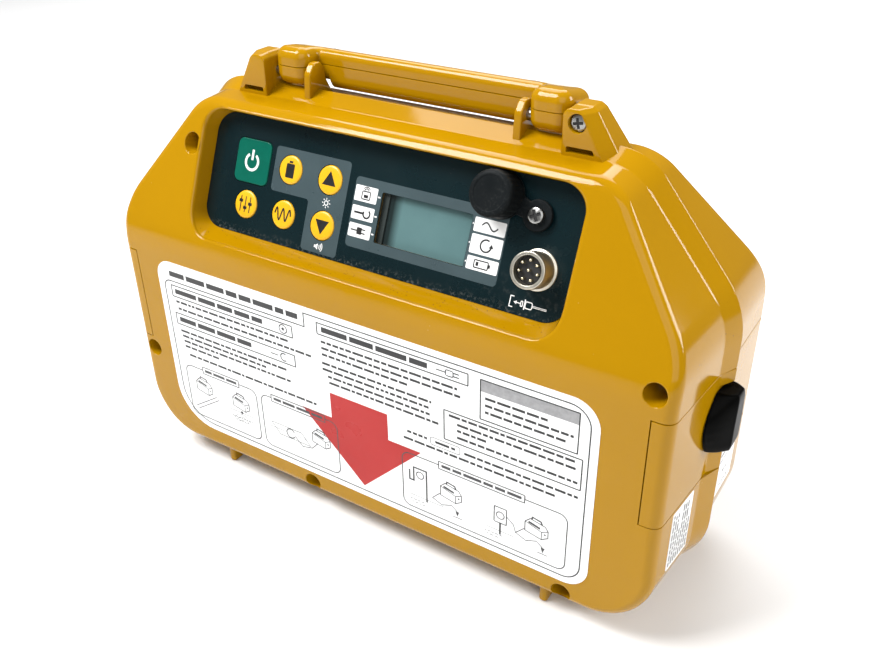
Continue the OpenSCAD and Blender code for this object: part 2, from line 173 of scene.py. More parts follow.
def yellow_plastic():
    m, nt, b = new_mat("case_yellow", (0.358, 0.181, 0.0007), 0.1, ior=1.5)
    b.inputs["Specular IOR Level"].default_value = 0.24
    c = coords(nt)
    tone = mix(nt, span(nt, noise(nt, 9.0, 4, src=c), 0.3, 0.7), (0.346, 0.174, 0.0005), (0.372, 0.189, 0.0009))
    # fine dust and small scuffs lie on the gloss
    dust = specks(nt, c, 260.0, 0.05, 0.10, 55.0, 0.60, 0.66)
    tone = mix(nt, math_node(nt, "MULTIPLY", dust, 0.30), tone, (0.47, 0.31, 0.10))
    # dark grit, sparse on the walls and thicker along the lower edge of the panel recess
    a = axes(nt, c)
    band = math_node(nt, "MULTIPLY", span(nt, a["Z"], 0.1375, 0.1355), span(nt, a["Z"], 0.1295, 0.1325))
    band = math_node(nt, "MULTIPLY", band, span(nt, a["Y"], -0.0465, -0.0440))
    grit = math_node(nt, "MULTIPLY", specks(nt, c, 620.0, 0.05, 0.22, 160.0, 0.50, 0.60), band)
    few = specks(nt, c, 300.0, 0.02, 0.055, 38.0, 0.66, 0.70)
    dark = math_node(nt, "MAXIMUM", grit, math_node(nt, "MULTIPLY", few, 0.7))
    nt.links.new(mix(nt, dark, tone, (0.055, 0.030, 0.006)), b.inputs["Base Color"])
    haze = span(nt, noise(nt, 26.0, 6, 0.65, src=c), 0.35, 0.75, 0.045, 0.11)
    nt.links.new(math_node(nt, "ADD", haze, math_node(nt, "MULTIPLY", math_node(nt, "ADD", dust, dark), 0.35)), b.inputs["Roughness"])
    peel = math_node(nt, "ADD", noise(nt, 60.0, 2, src=c), math_node(nt, "MULTIPLY", noise(nt, 420.0, 2, src=c), 0.12))
    bump(nt, b, peel, 0.03, 0.0010)
    return m


def panel_film():
    m, nt, b = new_mat("panel_film", (0.004, 0.013, 0.017), 0.3, ior=1.45)
    c = coords(nt)
    a = axes(nt, c)
    worn = math_node(nt, "MULTIPLY", span(nt, a["X"], 0.030, 0.085), span(nt, a["Z"], 0.158, 0.138))
    fine = specks(nt, c, 520.0, 0.05, 0.15, 130.0, 0.60, 0.68)
    rub = math_node(nt, "MULTIPLY", span(nt, noise(nt, 420.0, 5, 0.7, src=c), 0.54, 0.72), worn)
    edge = math_node(nt, "MULTIPLY", span(nt, noise(nt, 700.0, 4, 0.7, src=c), 0.52, 0.66), span(nt, a["Z"], 0.1393, 0.1363))
    wear = math_node(nt, "MAXIMUM", math_node(nt, "MULTIPLY", fine, 0.35), math_node(nt, "MAXIMUM", math_node(nt, "MULTIPLY", rub, 0.45), math_node(nt, "MULTIPLY", edge, 0.7)))
    base = mix(nt, span(nt, noise(nt, 14.0, 4, src=c), 0.3, 0.7), (0.0008, 0.0078, 0.0100), (0.0020, 0.0112, 0.0140))
    nt.links.new(mix(nt, wear, base, (0.085, 0.090, 0.083)), b.inputs["Base Color"])
    nt.links.new(math_node(nt, "ADD", span(nt, noise(nt, 30.0, 5, src=c), 0.3, 0.7, 0.22, 0.32), math_node(nt, "MULTIPLY", wear, 0.4)), b.inputs["Roughness"])
    bump(nt, b, noise(nt, 1400.0, 2, src=c), 0.08, 0.00008)
    return m


def simple(name, dark, light, rough, scale=30.0, metallic=0.0, bscale=900.0, bstr=0.1, bdist=0.0001, ior=1.5, rscale=40.0):
    m, nt, b = new_mat(name, light, rough[0], metallic, ior)
    shade(nt, b, dark, light, scale, rough, rscale, bscale, bstr, bdist)
    return m


def dusty_rubber():
    m, nt, b = new_mat("rubber_dusty", (0.015, 0.015, 0.016), 0.6)
    c = coords(nt)
    fine = noise(nt, 900.0, 4, 0.7, src=c)
    wide = noise(nt, 90.0, 4, 0.6, src=c)
    dust = math_node(nt, "MULTIPLY", span(nt, fine, 0.52, 0.72), span(nt, wide, 0.35, 0.75))
    nt.links.new(mix(nt, dust, (0.0036, 0.0052, 0.0060), (0.032, 0.034, 0.033)), b.inputs["Base Color"])
    nt.links.new(span(nt, wide, 0.3, 0.7, 0.46, 0.68), b.inputs["Roughness"])
    bump(nt, b, fine, 0.25, 0.00012)
    return m


YELLOW = yellow_plastic()
FILM = panel_film()
RUBBER = dusty_rubber()
BLACK = simple("black_satin", (0.0010, 0.0011, 0.0010), (0.0024, 0.0025, 0.0022), (0.24, 0.36), 60.0, bscale=1300.0, bstr=0.22, ior=1.42)
BLACK_MATT = simple("black_matt", (0.006, 0.006, 0.0065), (0.014, 0.014, 0.0145), (0.5, 0.7), 60.0, bscale=1200.0, bstr=0.2)
STEEL = simple("steel", (0.30, 0.30, 0.29), (0.40, 0.40, 0.385), (0.24, 0.34), 120.0, 1.0, bscale=2500.0, bstr=0.06, rscale=200.0)
NICKEL = simple("nickel", (0.54, 0.51, 0.43), (0.68, 0.65, 0.56), (0.30, 0.44), 260.0, 1.0, bscale=2200.0, bstr=0.08, rscale=350.0)
CONTACT = simple("contact_plate", (0.62, 0.54, 0.36), (0.80, 0.72, 0.52), (0.2, 0.35), 300.0, 1.0)
WHITE = simple("label_white", (0.84, 0.845, 0.845), (0.89, 0.895, 0.895), (0.22, 0.34), 18.0, bscale=500.0, bstr=0.03)
INK = simple("ink_black", (0.008, 0.008, 0.009), (0.018, 0.018, 0.019), (0.3, 0.42), 80.0)
INK_GREY = simple("ink_grey", (0.030, 0.030, 0.032), (0.060, 0.060, 0.062), (0.3, 0.42), 400.0)
INK_PALE = simple("ink_pale", (0.24, 0.24, 0.245), (0.32, 0.32, 0.325), (0.3, 0.42), 400.0)
INK_RED = simple("ink_red", (0.38, 0.020, 0.018), (0.42, 0.027, 0.025), (0.26, 0.38), 25.0)
INK_WHITE = simple("ink_white", (0.74, 0.74, 0.73), (0.84, 0.84, 0.83), (0.35, 0.5), 60.0)
ZONE = simple("panel_grey_zone", (0.038, 0.059, 0.066), (0.045, 0.070, 0.078), (0.24, 0.36), 40.0)
KEY_YELLOW = simple("key_yellow", (0.66, 0.345, 0.0030), (0.72, 0.395, 0.0055), (0.30, 0.42), 90.0, bscale=1800.0, bstr=0.1)
KEY_GREEN = simple("key_green", (0.0003, 0.084, 0.055), (0.0006, 0.102, 0.067), (0.28, 0.40), 70.0, bscale=1800.0, bstr=0.1)


def display_glass():
    """Grey-green display, shaded along the side where the window's wall overhangs it."""
    m, nt, b = new_mat("lcd_face", (0.085, 0.160, 0.163), 0.12)
    c = coords(nt)
    a = axes(nt, c)
    face = mix(nt, span(nt, noise(nt, 45.0, 4, src=c), 0.3, 0.7), (0.078, 0.150, 0.153), (0.094, 0.175, 0.178))
    lit = math_node(nt, "MULTIPLY", span(nt, a["X"], 0.0050, 0.0095), span(nt, a["Z"], 0.172, 0.158, 0.72, 1.0))
    nt.links.new(mix(nt, lit, (0.010, 0.018, 0.018), face), b.inputs["Base Color"])
    nt.links.new(span(nt, noise(nt, 40.0, 5, src=c), 0.3, 0.72, 0.08, 0.16), b.inputs["Roughness"])
    return m


LCD_FACE = display_glass()
# near-black for the display's border, which is seen only beside the window's left edge; it is partly the real border
# and partly painted shade of the window wall
LCD_BORDER_SHADE = simple("lcd_border_shade", (0.010, 0.016, 0.015), (0.017, 0.025, 0.023), (0.4, 0.55), 80.0)
# dark brown-yellow for the cut edge of the display window: the yellow edge darkened as painted shade
YELLOW_EDGE_SHADE = simple("yellow_edge_painted_shade", (0.045, 0.028, 0.006), (0.085, 0.055, 0.014), (0.35, 0.5), 700.0)
BOARD = simple("board_green", (0.012, 0.10, 0.045), (0.022, 0.15, 0.07), (0.3, 0.45), 120.0)
CELL = simple("cell_jacket", (0.02, 0.03, 0.06), (0.04, 0.055, 0.10), (0.2, 0.32), 60.0)
FERRITE = simple("ferrite", (0.030, 0.030, 0.033), (0.060, 0.060, 0.064), (0.5, 0.7), 200.0)
for m_, lv in ((BLACK, 0.04), (RUBBER, 0.1), (KEY_GREEN, 0.16), (INK_RED, 0.25), (FILM, 0.34)):
    m_.node_tree.nodes["Principled BSDF"].inputs["Specular IOR Level"].default_value = lv
COPPER = simple("copper_wire", (0.42, 0.15, 0.05), (0.60, 0.25, 0.09), (0.22, 0.36), 500.0, 1.0)


# ------------------------------------------------------------------ mesh helpers
class Skin:
    def __init__(self):
        self.v = []
        self.f = []

    def ring(self, pts):
        i = len(self.v)
        self.v += [tuple(float(c) for c in p) for p in pts]
        return list(range(i, len(self.v)))

    def bridge(self, a, b, closed=True, skip=None):
        n = len(a)
        for i in range(n if closed else n - 1):
            if skip is not None and skip[i]:
                continue
            j = (i + 1) % n
            self.f.append((a[i], a[j], b[j], b[i]))

    def loft(self, rings, closed=True, cap0=False, cap1=False, skip=None):
        ids = [self.ring(r) for r in rings]
        for a, b in zip(ids, ids[1:]):
            self.bridge(a, b, closed, skip)
        if cap0:
            self.f.append(tuple(ids[0][::-1]))
        if cap1:
            self.f.append(tuple(ids[-1]))
        return ids

    def tris(self, pts, tri):
        i = len(self.v)
        self.v += [tuple(float(c) for c in p) for p in pts]
        self.f += [tuple(i + k for k in t) for t in tri]

    def add(self, other):
        i = len(self.v)
        self.v += other.v
        self.f += [tuple(i + k for k in f) for f in other.f]


def build(name, skin, mat, body, nodes=(), angle=38.0, merge=0.004, flat=False, outward=None):
    me = bpy.data.meshes.new(name)
    bm = bmesh.new()
    vs = [bm.verts.new((x * MM, y * MM, z * MM)) for x, y, z in skin.v]
    for f in skin.f:
        k = [f[i] for i in range(len(f)) if f[i] != f[i - 1]]
        if len(set(k)) < 3:
            continue
        try:
            bm.faces.new([vs[i] for i in k])
        except ValueError:
            pass
    bmesh.ops.remove_doubles(bm, verts=bm.verts, dist=merge * MM)
    bmesh.ops.dissolve_degenerate(bm, edges=bm.edges, dist=1e-7)
    loose = [v for v in bm.verts if not v.link_faces]
    bmesh.ops.delete(bm, geom=loose, context="VERTS")
    if not flat:
        bmesh.ops.recalc_face_normals(bm, faces=bm.faces)
        if outward is None:
            c = sum((v.co for v in bm.verts), Vector()) / max(1, len(bm.verts))
            s = sum((f.calc_center_median() - c).dot(f.normal) * f.calc_area() for f in bm.faces)
        else:
            s = sum(f.normal.dot(Vector(outward)) * f.calc_area() for f in bm.faces)
        if s < 0:
            bmesh.ops.reverse_faces(bm, faces=bm.faces)
    bm.to_mesh(me)
    bm.free()
    me.materials.append(mat)
    ob = bpy.data.objects.new(name, me)
    scene.collection.objects.link(ob)
    me.polygons.foreach_set("use_smooth", [not flat] * len(me.polygons))
    if not flat:
        me.set_sharp_from_angle(angle=math.radians(angle))
        w = ob.modifiers.new("weighted", "WEIGHTED_NORMAL")
        w.weight = 60
        w.keep_sharp = True
    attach(ob, body)
    if nodes:
        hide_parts(*nodes)
    return ob


def unit(v):
    return v / np.linalg.norm(v)


def rpoly(P, R, n=8):
    """Points and outward normals of a counter-clockwise polygon with rounded corners."""
    P = [np.array(p, float) for p in P]
    m = len(P)
    if not hasattr(R, "__len__"):
        R = [R] * m
    pts, nor = [], []
    for i in range(m):
        a, p, b, r = P[i - 1], P[i], P[(i + 1) % m], R[i]
        u, v = unit(a - p), unit(b - p)
        e0, e1 = unit(p - a), unit(b - p)
        n0, n1 = np.array([e0[1], -e0[0]]), np.array([e1[1], -e1[0]])
        h = math.acos(max(-1, min(1, float(u @ v)))) / 2
        if r <= 0 or abs(h - math.pi / 2) < 1e-6:
            k = n0 + n1
            pts.append(p)
            nor.append(k / (k @ n0) if abs(k @ n0) > 1e-9 else n0)
            continue
        convex = e0[0] * e1[1] - e0[1] * e1[0] > 0
        c = p + unit(u + v) * (r / math.sin(h))
        s = p + u * (r / math.tan(h)) - c
        e = p + v * (r / math.tan(h)) - c
        a0 = math.atan2(s[1], s[0])
        d = math.atan2(e[1], e[0]) - a0
        d = (d + math.pi) % (2 * math.pi) - math.pi
        for k in range(n + 1):
            t = a0 + d * k / n
            w = np.array([math.cos(t), math.sin(t)])
            pts.append(c + r * w)
            nor.append(w if convex else -w)
    return np.array(pts), np.array(nor)


def circle(cx, cy, r, n=48):
    t = np.arange(n) * 2 * math.pi / n
    nor = np.stack([np.cos(t), np.sin(t)], 1)
    return np.array([cx, cy]) + r * nor, nor


def arc_steps(n):
    return [math.pi / 2 * k / n for k in range(n + 1)]


def slab(pts, nor, z0, z1, rb, rt, T, seg=5, skin=None):
    """Closed rounded plate over an outline, from z0 to z1, mapped by T."""
    sk = skin or Skin()
    prof = []
    for a in arc_steps(seg) if rb else [math.pi / 2]:
        prof.append((rb * (1 - math.sin(a)), z0 + rb * (1 - math.cos(a))))
    for a in arc_steps(seg)[::-1] if rt else [math.pi / 2]:
        prof.append((rt * (1 - math.sin(a)), z1 - rt * (1 - math.cos(a))))
    rings = [[T(*(p - n * d), z) for p, n in zip(pts, nor)] for d, z in prof]
    sk.loft(rings, cap0=True, cap1=True)
    return sk


def lathe(profile, T, n=64, skin=None, cap0=True, cap1=True):
    sk = skin or Skin()
    t = np.arange(n) * 2 * math.pi / n
    rings = [[T(r * math.cos(a), r * math.sin(a), z) for a in t] for r, z in profile]
    sk.loft(rings, cap0=cap0, cap1=cap1)
    return sk


def inside(poly, q):
    x, y = q
    r = False
    n = len(poly)
    for i in range(n):
        x0, y0 = poly[i]
        x1, y1 = poly[i - 1]
        if (y0 > y) != (y1 > y) and x < (x1 - x0) * (y - y0) / (y1 - y0) + x0:
            r = not r
    return r


def fill(outer, holes, extra=(), lines=()):
    """Triangles over a plane region with holes. Returns points and triangles."""
    v, e = [], []
    for loop in [outer] + list(holes) + list(lines):
        i = len(v)
        v += [Vector((float(a), float(b))) for a, b in loop]
        m = len(loop)
        e += [(i + k, i + (k + 1) % m) for k in range(m)]
    v += [Vector((float(a), float(b))) for a, b in extra]
    r = delaunay_2d_cdt(v, e, [], 0, 1e-6)
    pts = [(p.x, p.y) for p in r[0]]
    tri = []
    for f in r[2]:
        c = np.mean([pts[k] for k in f], axis=0)
        if inside(outer, c) and not any(inside(h, c) for h in holes):
            tri.append(tuple(f))
    return pts, tri


# ------------------------------------------------------------------ frames of reference
PC = np.array([-2.3, -27.7, 159.1])
TILT = math.radians(23.07)
PV = np.array([0, math.sin(TILT), math.cos(TILT)])
PN = np.array([0, -math.cos(TILT), math.sin(TILT)])
PX = np.array([1.0, 0, 0])


def on_panel(u, v, h):
    return PC + PX * u + PV * v + PN * h


def panel_at(u0, v0):
    return lambda a, b, h: on_panel(u0 + a, v0 + b, h)


def front_xz(a, b, h):
    return np.array([a, -h, b])


def from_x(a, b, h):
    """Drawn in Y and Z, raised along X."""
    return np.array([h, a, b])


def from_y(a, b, h):
    """Drawn in X and Z, raised along Y."""
    return np.array([a, h, b])


# ------------------------------------------------------------------ case outline
HW, ZB, ZT = 145.0, 7.5, 193.0
D0, D1 = 67.75, 117.25
BEND_R = 38.0
BT = BEND_R * math.tan(TILT / 2)
BZ0, BZ1 = 128 - BT, 128 + BT * math.cos(TILT)


def yf(z):
    if z <= BZ0:
        return -50.0
    if z >= BZ1:
        return -50 + (z - 128) * math.tan(TILT)
    return -50 + BEND_R - math.sqrt(BEND_R**2 - (z - BZ0) ** 2)


bend_rows = [BZ0 + (BZ1 - BZ0) * k / 6 for k in range(7)]
out_p, out_n = rpoly(
    [(HW, ZB), (HW, 141.5), (103.3, ZT), (-103.3, ZT), (-HW, 141.5), (-HW, ZB)], [31, 36, 22, 22, 36, 31], 14
)
marks = [D0, D1] + [z for z in bend_rows if z < 128.5]
P2, N2 = [], []
for i in range(len(out_p)):
    p, q = out_p[i], out_p[(i + 1) % len(out_p)]
    P2.append(p)
    N2.append(out_n[i])
    if abs(p[0] - q[0]) < 1e-6 and abs(abs(p[0]) - HW) < 1e-6:
        up_ = q[1] > p[1]
        for z in sorted(marks, reverse=not up_):
            if min(p[1], q[1]) + 0.3 < z < max(p[1], q[1]) - 0.3:
                P2.append(np.array([p[0], z]))
                N2.append(np.array([math.copysign(1, p[0]), 0]))
out_p, out_n = np.array(P2), np.array(N2)
M = len(out_p)


def in_door(i):
    p, q = out_p[i], out_p[(i + 1) % M]
    return abs(abs(p[0]) - HW) < 1e-6 and abs(abs(q[0]) - HW) < 1e-6 and min(p[1], q[1]) > D0 - 0.01 and max(p[1], q[1]) < D1 + 0.01


door_seg = [in_door(i) for i in range(M)]


def edge_r(n):
    """Radius of the front edge by the way the wall faces."""
    z = n[1]
    if z >= 0:
        return float(np.interp(z, [0, 0.25, 0.63, 0.85, 1.0], [5.0, 4.6, 3.7, 3.8, 4.0]))
    return 5.0


# the front half has mould draft, a little less on the underside
DRAFT_F = (HW - 141.2) / 50.0
ER = np.array([edge_r(n) for n in out_n])
LEAN = np.array([DRAFT_F * float(np.interp(n[1], [-1, -0.5, 0.2, 0.63, 1], [0.7, 1, 1, 1.2, 1])) for n in out_n])
# width of the rim band: broad below the doors, narrower above them
RIM_W = np.array([11.4 if p[1] < D0 + 0.01 else 9.0 for p in out_p])
RIM = [(0.0, 1.09), (0.004, 1.045), (0.022, 1.0), (0.062, 0.955), (0.955, 0.075), (0.99, 0.035), (0.985, 0.012), (0.95, 0.0)]
RIM_H = 3.2
PHI = arc_steps(10)
SPLIT = 3


def ring_at(d, y):
    return [(p[0] - n[0] * (d - k * min(y, 0)), y, p[1] - n[1] * (d - k * min(y, 0))) for p, n, k in zip(out_p, out_n, LEAN)]


def rim_ring(g, f):
    r = []
    for p, n, k, w in zip(out_p, out_n, LEAN, RIM_W):
        d = k * w * f - RIM_H * g
        r.append((p[0] - n[0] * d, -w * f, p[1] - n[1] * d))
    return r


FO = np.array([p - n * k * -(yf(p[1]) + e) for p, n, k, e in zip(out_p, out_n, LEAN, ER)])


def fillet_ring(phi):
    r = []
    for p, n, e in zip(FO, out_n, ER):
        q = p - n * e * (1 - math.cos(phi))
        r.append((q[0], yf(q[1]) + e * (1 - math.sin(phi)), q[1]))
    return r


def height(x, z):
    """Depth of the front face at a point, its rounded edge included."""
    q = np.array([x, z])
    b = np.roll(FO, -1, axis=0)
    ab = b - FO
    t = np.clip(((q - FO) * ab).sum(1) / np.maximum((ab * ab).sum(1), 1e-9), 0, 1)
    dd = np.linalg.norm(FO + ab * t[:, None] - q, axis=1)
    i = int(dd.argmin())
    e = ER[i] * (1 - t[i]) + ER[(i + 1) % M] * t[i]
    d = float(dd[i])
    return yf(z) + (e - math.sqrt(max(0.0, e * e - (e - d) ** 2)) if d < e else 0.0)


SCREWS = [(-133.4, 60.8, -32), (-32.2, 15.2, -32), (103.2, 14.7, -32), (133, 127.4, -32), (-102.6, 171.5, -16)]


def front_shell():
    sk = Skin()
    rings = [ring_at(1.6, 0.0)] + [rim_ring(g, f) for g, f in RIM[::-1]]
    rings += [fillet_ring(a) for a in PHI[: SPLIT + 1]]
    sk.loft(rings, skip=door_seg)
    rows = [fillet_ring(a) for a in PHI]
    edge = rows[SPLIT]
    outer = []
    for i in range(M):
        outer.append((edge[i][0], edge[i][2]))
        if door_seg[i]:
            j = (i + 1) % M
            x = math.copysign(132.75, edge[i][0])
            outer += [(r[i][0], r[i][2]) for r in rows[SPLIT + 1 :]]
            outer += [(x, edge[i][2]), (x, edge[j][2])]
            outer += [(r[j][0], r[j][2]) for r in rows[: SPLIT : -1]]
    lines_ = [[(p[0], p[2]) for p in r] for r in rows[SPLIT + 1 :]]
    # recess round the panel
    base, bn = rpoly([(93.5, -25.4), (93.5, 27.75), (-93.5, 27.75), (-93.5, -25.4)], 10, 12)
    ws, wt, wb = bn[:, 0] ** 2, np.clip(bn[:, 1], 0, 1) ** 2, np.clip(-bn[:, 1], 0, 1) ** 2
    rf = ws * 2.0 + wt * 0.8 + wb * 1.5
    wall = ws * 1.0 + wt * 0.35 + wb * 5.6
    depth = 8.33
    rec = []
    for a in arc_steps(7)[::-1]:
        o = wall + rf * (1 - math.cos(a))
        h = depth - rf * (1 - math.sin(a))
        rec.append([on_panel(*(b + n * oo), hh) for b, n, oo, hh in zip(base, bn, o, h)])
    rec.append([on_panel(*(b + n * 0.35), 0.35) for b, n in zip(base, bn)])
    rec.append([on_panel(*(b + n * 0.05), -0.6) for b, n in zip(base, bn)])
    rec[0] = [(p[0], yf(p[2]), p[2]) for p in rec[0]]
    sk.loft(rec)
    holes = [[(p[0], p[2]) for p in rec[0]]]
    # counterbores of the case screws
    for x, z, yb in SCREWS:
        loops = []
        for r, dy in ((4.95, 0.0), (4.74, 0.07), (4.58, 0.25), (4.5, 0.55)):
            c, _ = circle(x, z, r, 48)
            loops.append([(q[0], height(q[0], q[1]) + dy, q[1]) for q in c])
        c, _ = circle(x, z, 4.45, 48)
        loops.append([(q[0], yb, q[1]) for q in c])
        sk.loft(loops, cap1=True)
        holes.append([(q[0], q[2]) for q in loops[0]])
    free = lambda x, z: inside(outer, (x, z)) and not any(inside(h, (x, z)) for h in holes)
    extra = []
    for z in bend_rows:
        extra += [(x, z) for x in np.arange(-129, 129.1, 3.0) if free(x, z)]
    pts, tri = fill(outer, holes, extra, lines_)
    known = {(round(p[0], 3), round(p[2], 3)): p[1] for r in rows[SPLIT:] for p in r}
    known.update({(round(p[0], 3), round(p[2], 3)): p[1] for p in rec[0]})
    depth_of = lambda a, b: known[(round(a, 3), round(b, 3))] if (round(a, 3), round(b, 3)) in known else height(a, b)
    sk.tris([(a, depth_of(a, b), b) for a, b in pts], tri)
    # returns along the door seams
    prof = [rim_ring(g, f) for g, f in RIM[::-1]] + rows
    for s in (1, -1):
        for zz in (D0, D1):
            k = [i for i in range(M) if abs(out_p[i][1] - zz) < 1e-6 and out_p[i][0] * s > 0][0]
            line = [r[k] for r in prof] + [(s * 132.75, -50.0, zz)]
            inn = []
            for q in line:
                inn.append((s * min(abs(q[0]), HW) - s * 3.0 if abs(q[0]) > 134 else q[0], max(q[1], -47.0) if q[1] < -47 else q[1], q[2]))
            sk.bridge(sk.ring(line), sk.ring(inn), closed=False)
        sk.f.append(tuple(sk.ring([(s * 132.75, -50, D0), (s * 132.75, -50, D1), (s * 132.75, -46.5, D1), (s * 132.75, -46.5, D0)])))
    return sk


build("shell_front", front_shell(), YELLOW, "case", ["front_shell"], angle=50)


# ------------------------------------------------------------------ rear half
R_TILT = math.radians(26.9)
R_CREASE, R_BEND = 130.6, 60.0
R_T = R_BEND * math.tan(R_TILT / 2)
RZ0, RZ1 = R_CREASE - R_T, R_CREASE + R_T * math.cos(R_TILT)
REAR_E = np.array([float(np.interp(n[1], [0.6, 1.0], [5.0, 4.0])) for n in out_n])


def yr(z):
    """Depth of the rear face at a height: upright below, leaning forward above."""
    if z <= RZ0:
        return 48.0
    if z >= RZ1:
        return 48 - (z - R_CREASE) * math.tan(R_TILT)
    return 48 - R_BEND + math.sqrt(R_BEND**2 - (z - RZ0) ** 2)


def rear_ring(phi):
    r = []
    for p, n, e in zip(out_p, out_n, REAR_E):
        q = p - n * (0.2 + e * (1 - math.cos(phi)))
        r.append((q[0], yr(q[1]) - e * (1 - math.sin(phi)), q[1]))
    return r


def rear_shell():
    sk = Skin()
    rings = [ring_at(3.0, 0.05), ring_at(0.0, 0.05)] + [rear_ring(a) for a in arc_steps(10)]
    sk.loft(rings, skip=door_seg)
    inner = rings[-1]
    outer = []
    for i in range(M):
        outer.append((inner[i][0], inner[i][2]))
        if door_seg[i]:
            x = math.copysign(131.5, inner[i][0])
            outer += [(x, inner[i][2]), (x, inner[(i + 1) % M][2])]
    # shallow field on the upright part of the back
    field, fn = rpoly([(112, 26), (112, 106), (-112, 106), (-112, 26)], 9, 8)
    steps = [(0, 0.0), (0.5, 0.12), (0.9, 0.5), (1.1, 0.9), (1.5, 1.15), (2.2, 1.2)]
    loops = [[(p[0] - n[0] * d, 48.0 - h, p[1] - n[1] * d) for p, n in zip(field, fn)] for d, h in steps]
    sk.loft(loops, cap1=True)
    hole = [(p[0], p[2]) for p in loops[0]]
    extra = []
    for k in range(9):
        z = RZ0 + (RZ1 - RZ0) * k / 8
        extra += [(x, z) for x in np.arange(-136, 136.1, 4.0) if inside(outer, (x, z))]
    pts, tri = fill(outer, [hole], extra)
    sk.tris([(a, yr(b), b) for a, b in pts], tri)
    for s in (1, -1):
        for zz in (D0, D1):
            k = [i for i in range(M) if abs(out_p[i][1] - zz) < 1e-6 and out_p[i][0] * s > 0][0]
            line = [r[k] for r in rings[1:]] + [(s * 131.5, yr(zz), zz)]
            inn = [(s * (abs(p[0]) - 3.0) if abs(p[0]) > 134 else p[0], min(p[1], 45.0), p[2]) for p in line]
            sk.bridge(sk.ring(line), sk.ring(inn), closed=False)
        sk.f.append(tuple(sk.ring([(s * 131.5, 48, D0), (s * 131.5, yr(D1), D1), (s * 131.5, 44.5, D1), (s * 131.5, 44.5, D0)])))
        for z in (72.0, 102.4):
            lathe([(2.2, z), (2.6, z + 0.4), (2.6, z + 9.2), (2.2, z + 9.6)], lambda a, b, h, s=s: (s * 133 + a, 47.7 + b, h), 28, sk)
            q = slab(*rpoly([(s * 130.6 - 3.4, 45.2), (s * 130.6 + 3.4, 45.2), (s * 130.6 + 3.4, 48.6), (s * 130.6 - 3.4, 48.6)], 0.8, 3), z, z + 9.6, 0.3, 0.3, lambda a, b, h: (a, b, h), 2)
            sk.add(q)
        sk.add(slab(*rpoly([(s * 93 - 2, 8), (s * 93 + 2, 8), (s * 93 + 2, 40), (s * 93 - 2, 40)], 1.6, 4), 0, 12, 0.8, 0, lambda a, b, h: (a, b, h), 3))
    return sk


build("shell_rear", rear_shell(), YELLOW, "case", ["rear_shell"], angle=50)


# ------------------------------------------------------------------ ears, ribs and feet of the front half
def brackets():
    sk = Skin()
    for s in (1, -1):
        def T(a, b, h, s=s):
            return np.array([s * a, h, b])

        rad = [0, 0, 6, 2.2, 2.0, 2.0, 2.0]
        near = rpoly([(73, 190.5), (91, 190.5), (88.6, 195.4), (81.3, 208.6), (79.4, 210.2), (75.0, 210.2), (73, 208.4)], rad, 6)
        far = rpoly([(73, 190.5), (96, 190.5), (92.4, 196.2), (84.4, 208.8), (82.2, 210.4), (75.4, 210.4), (73, 208.4)], rad, 6)
        back = lambda z: 9.4 - (z - 191) * 0.22
        slot, _ = rpoly([(75, 193.5), (86.9, 193.5), (85.7, 195.9), (75, 195.9)], 0.6, 3)
        rows = [(near, 0.7, -10.0), (near, 0.2, -9.8), (near, 0.0, -9.3), (far, 0.3, -4.2), (far, 0.08, -3.8), (far, 0.0, -3.2)]
        rings = [[T(*(p - n * d), y) for p, n in zip(*o)] for o, d, y in rows]
        for d, dy in ((0.0, -1.4), (0.12, -0.9), (0.41, -0.41), (0.9, -0.12), (1.4, 0.0)):
            rings.append([T(*(p - n * d), back((p - n * d)[1]) + dy) for p, n in zip(*far)])
        sk.loft(rings)
        hs = [[tuple(q) for q in slot]]
        pts, tri = fill([tuple(p - n * 1.4) for p, n in zip(*far)], hs)
        sk.tris([T(a, b, back(b)) for a, b in pts], tri)
        if s == 1:
            mid = np.array([79.0, 205.0])
            c, _ = circle(79, 205, 3.8, 32)
            hs = hs + [[tuple(q) for q in c]]
            sk.loft([[T(*(mid + (q - mid) * k), yy) for q in c] for k, yy in ((1, -10.0), (0.96, -9.8), (0.95, -7.2))], cap1=True)
        pts, tri = fill([tuple(p - n * 0.7) for p, n in zip(*near)], hs)
        sk.tris([T(a, b, -10.0) for a, b in pts], tri)
        sk.loft([[T(*q, -10.0) for q in slot], [T(*q, back(q[1])) for q in slot]])
        rib, rn = rpoly([(-7.2, 190.5), (10.6, 190.5), (5.0, 200.2), (4.6, 205.2), (2.0, 207.9), (-2.4, 207.9), (-5.8, 203.8)], [0, 0, 4.0, 2.6, 2.6, 2.6, 4.0], 5)
        sk.add(slab(rib, rn, 50.5, 54.0, 0.7, 0.7, lambda a, b, h, s=s: (s * h, a, b), 3))
        sk.add(slab(*rpoly([(s * 93 - 2, -45.5), (s * 93 + 2, -45.5), (s * 93 + 2, -13.5), (s * 93 - 2, -13.5)], 1.6, 4), 0, 14, 0.8, 0, lambda a, b, h: (a, b, h), 3))
    return sk


build("shell_brackets", brackets(), YELLOW, "case", angle=45)


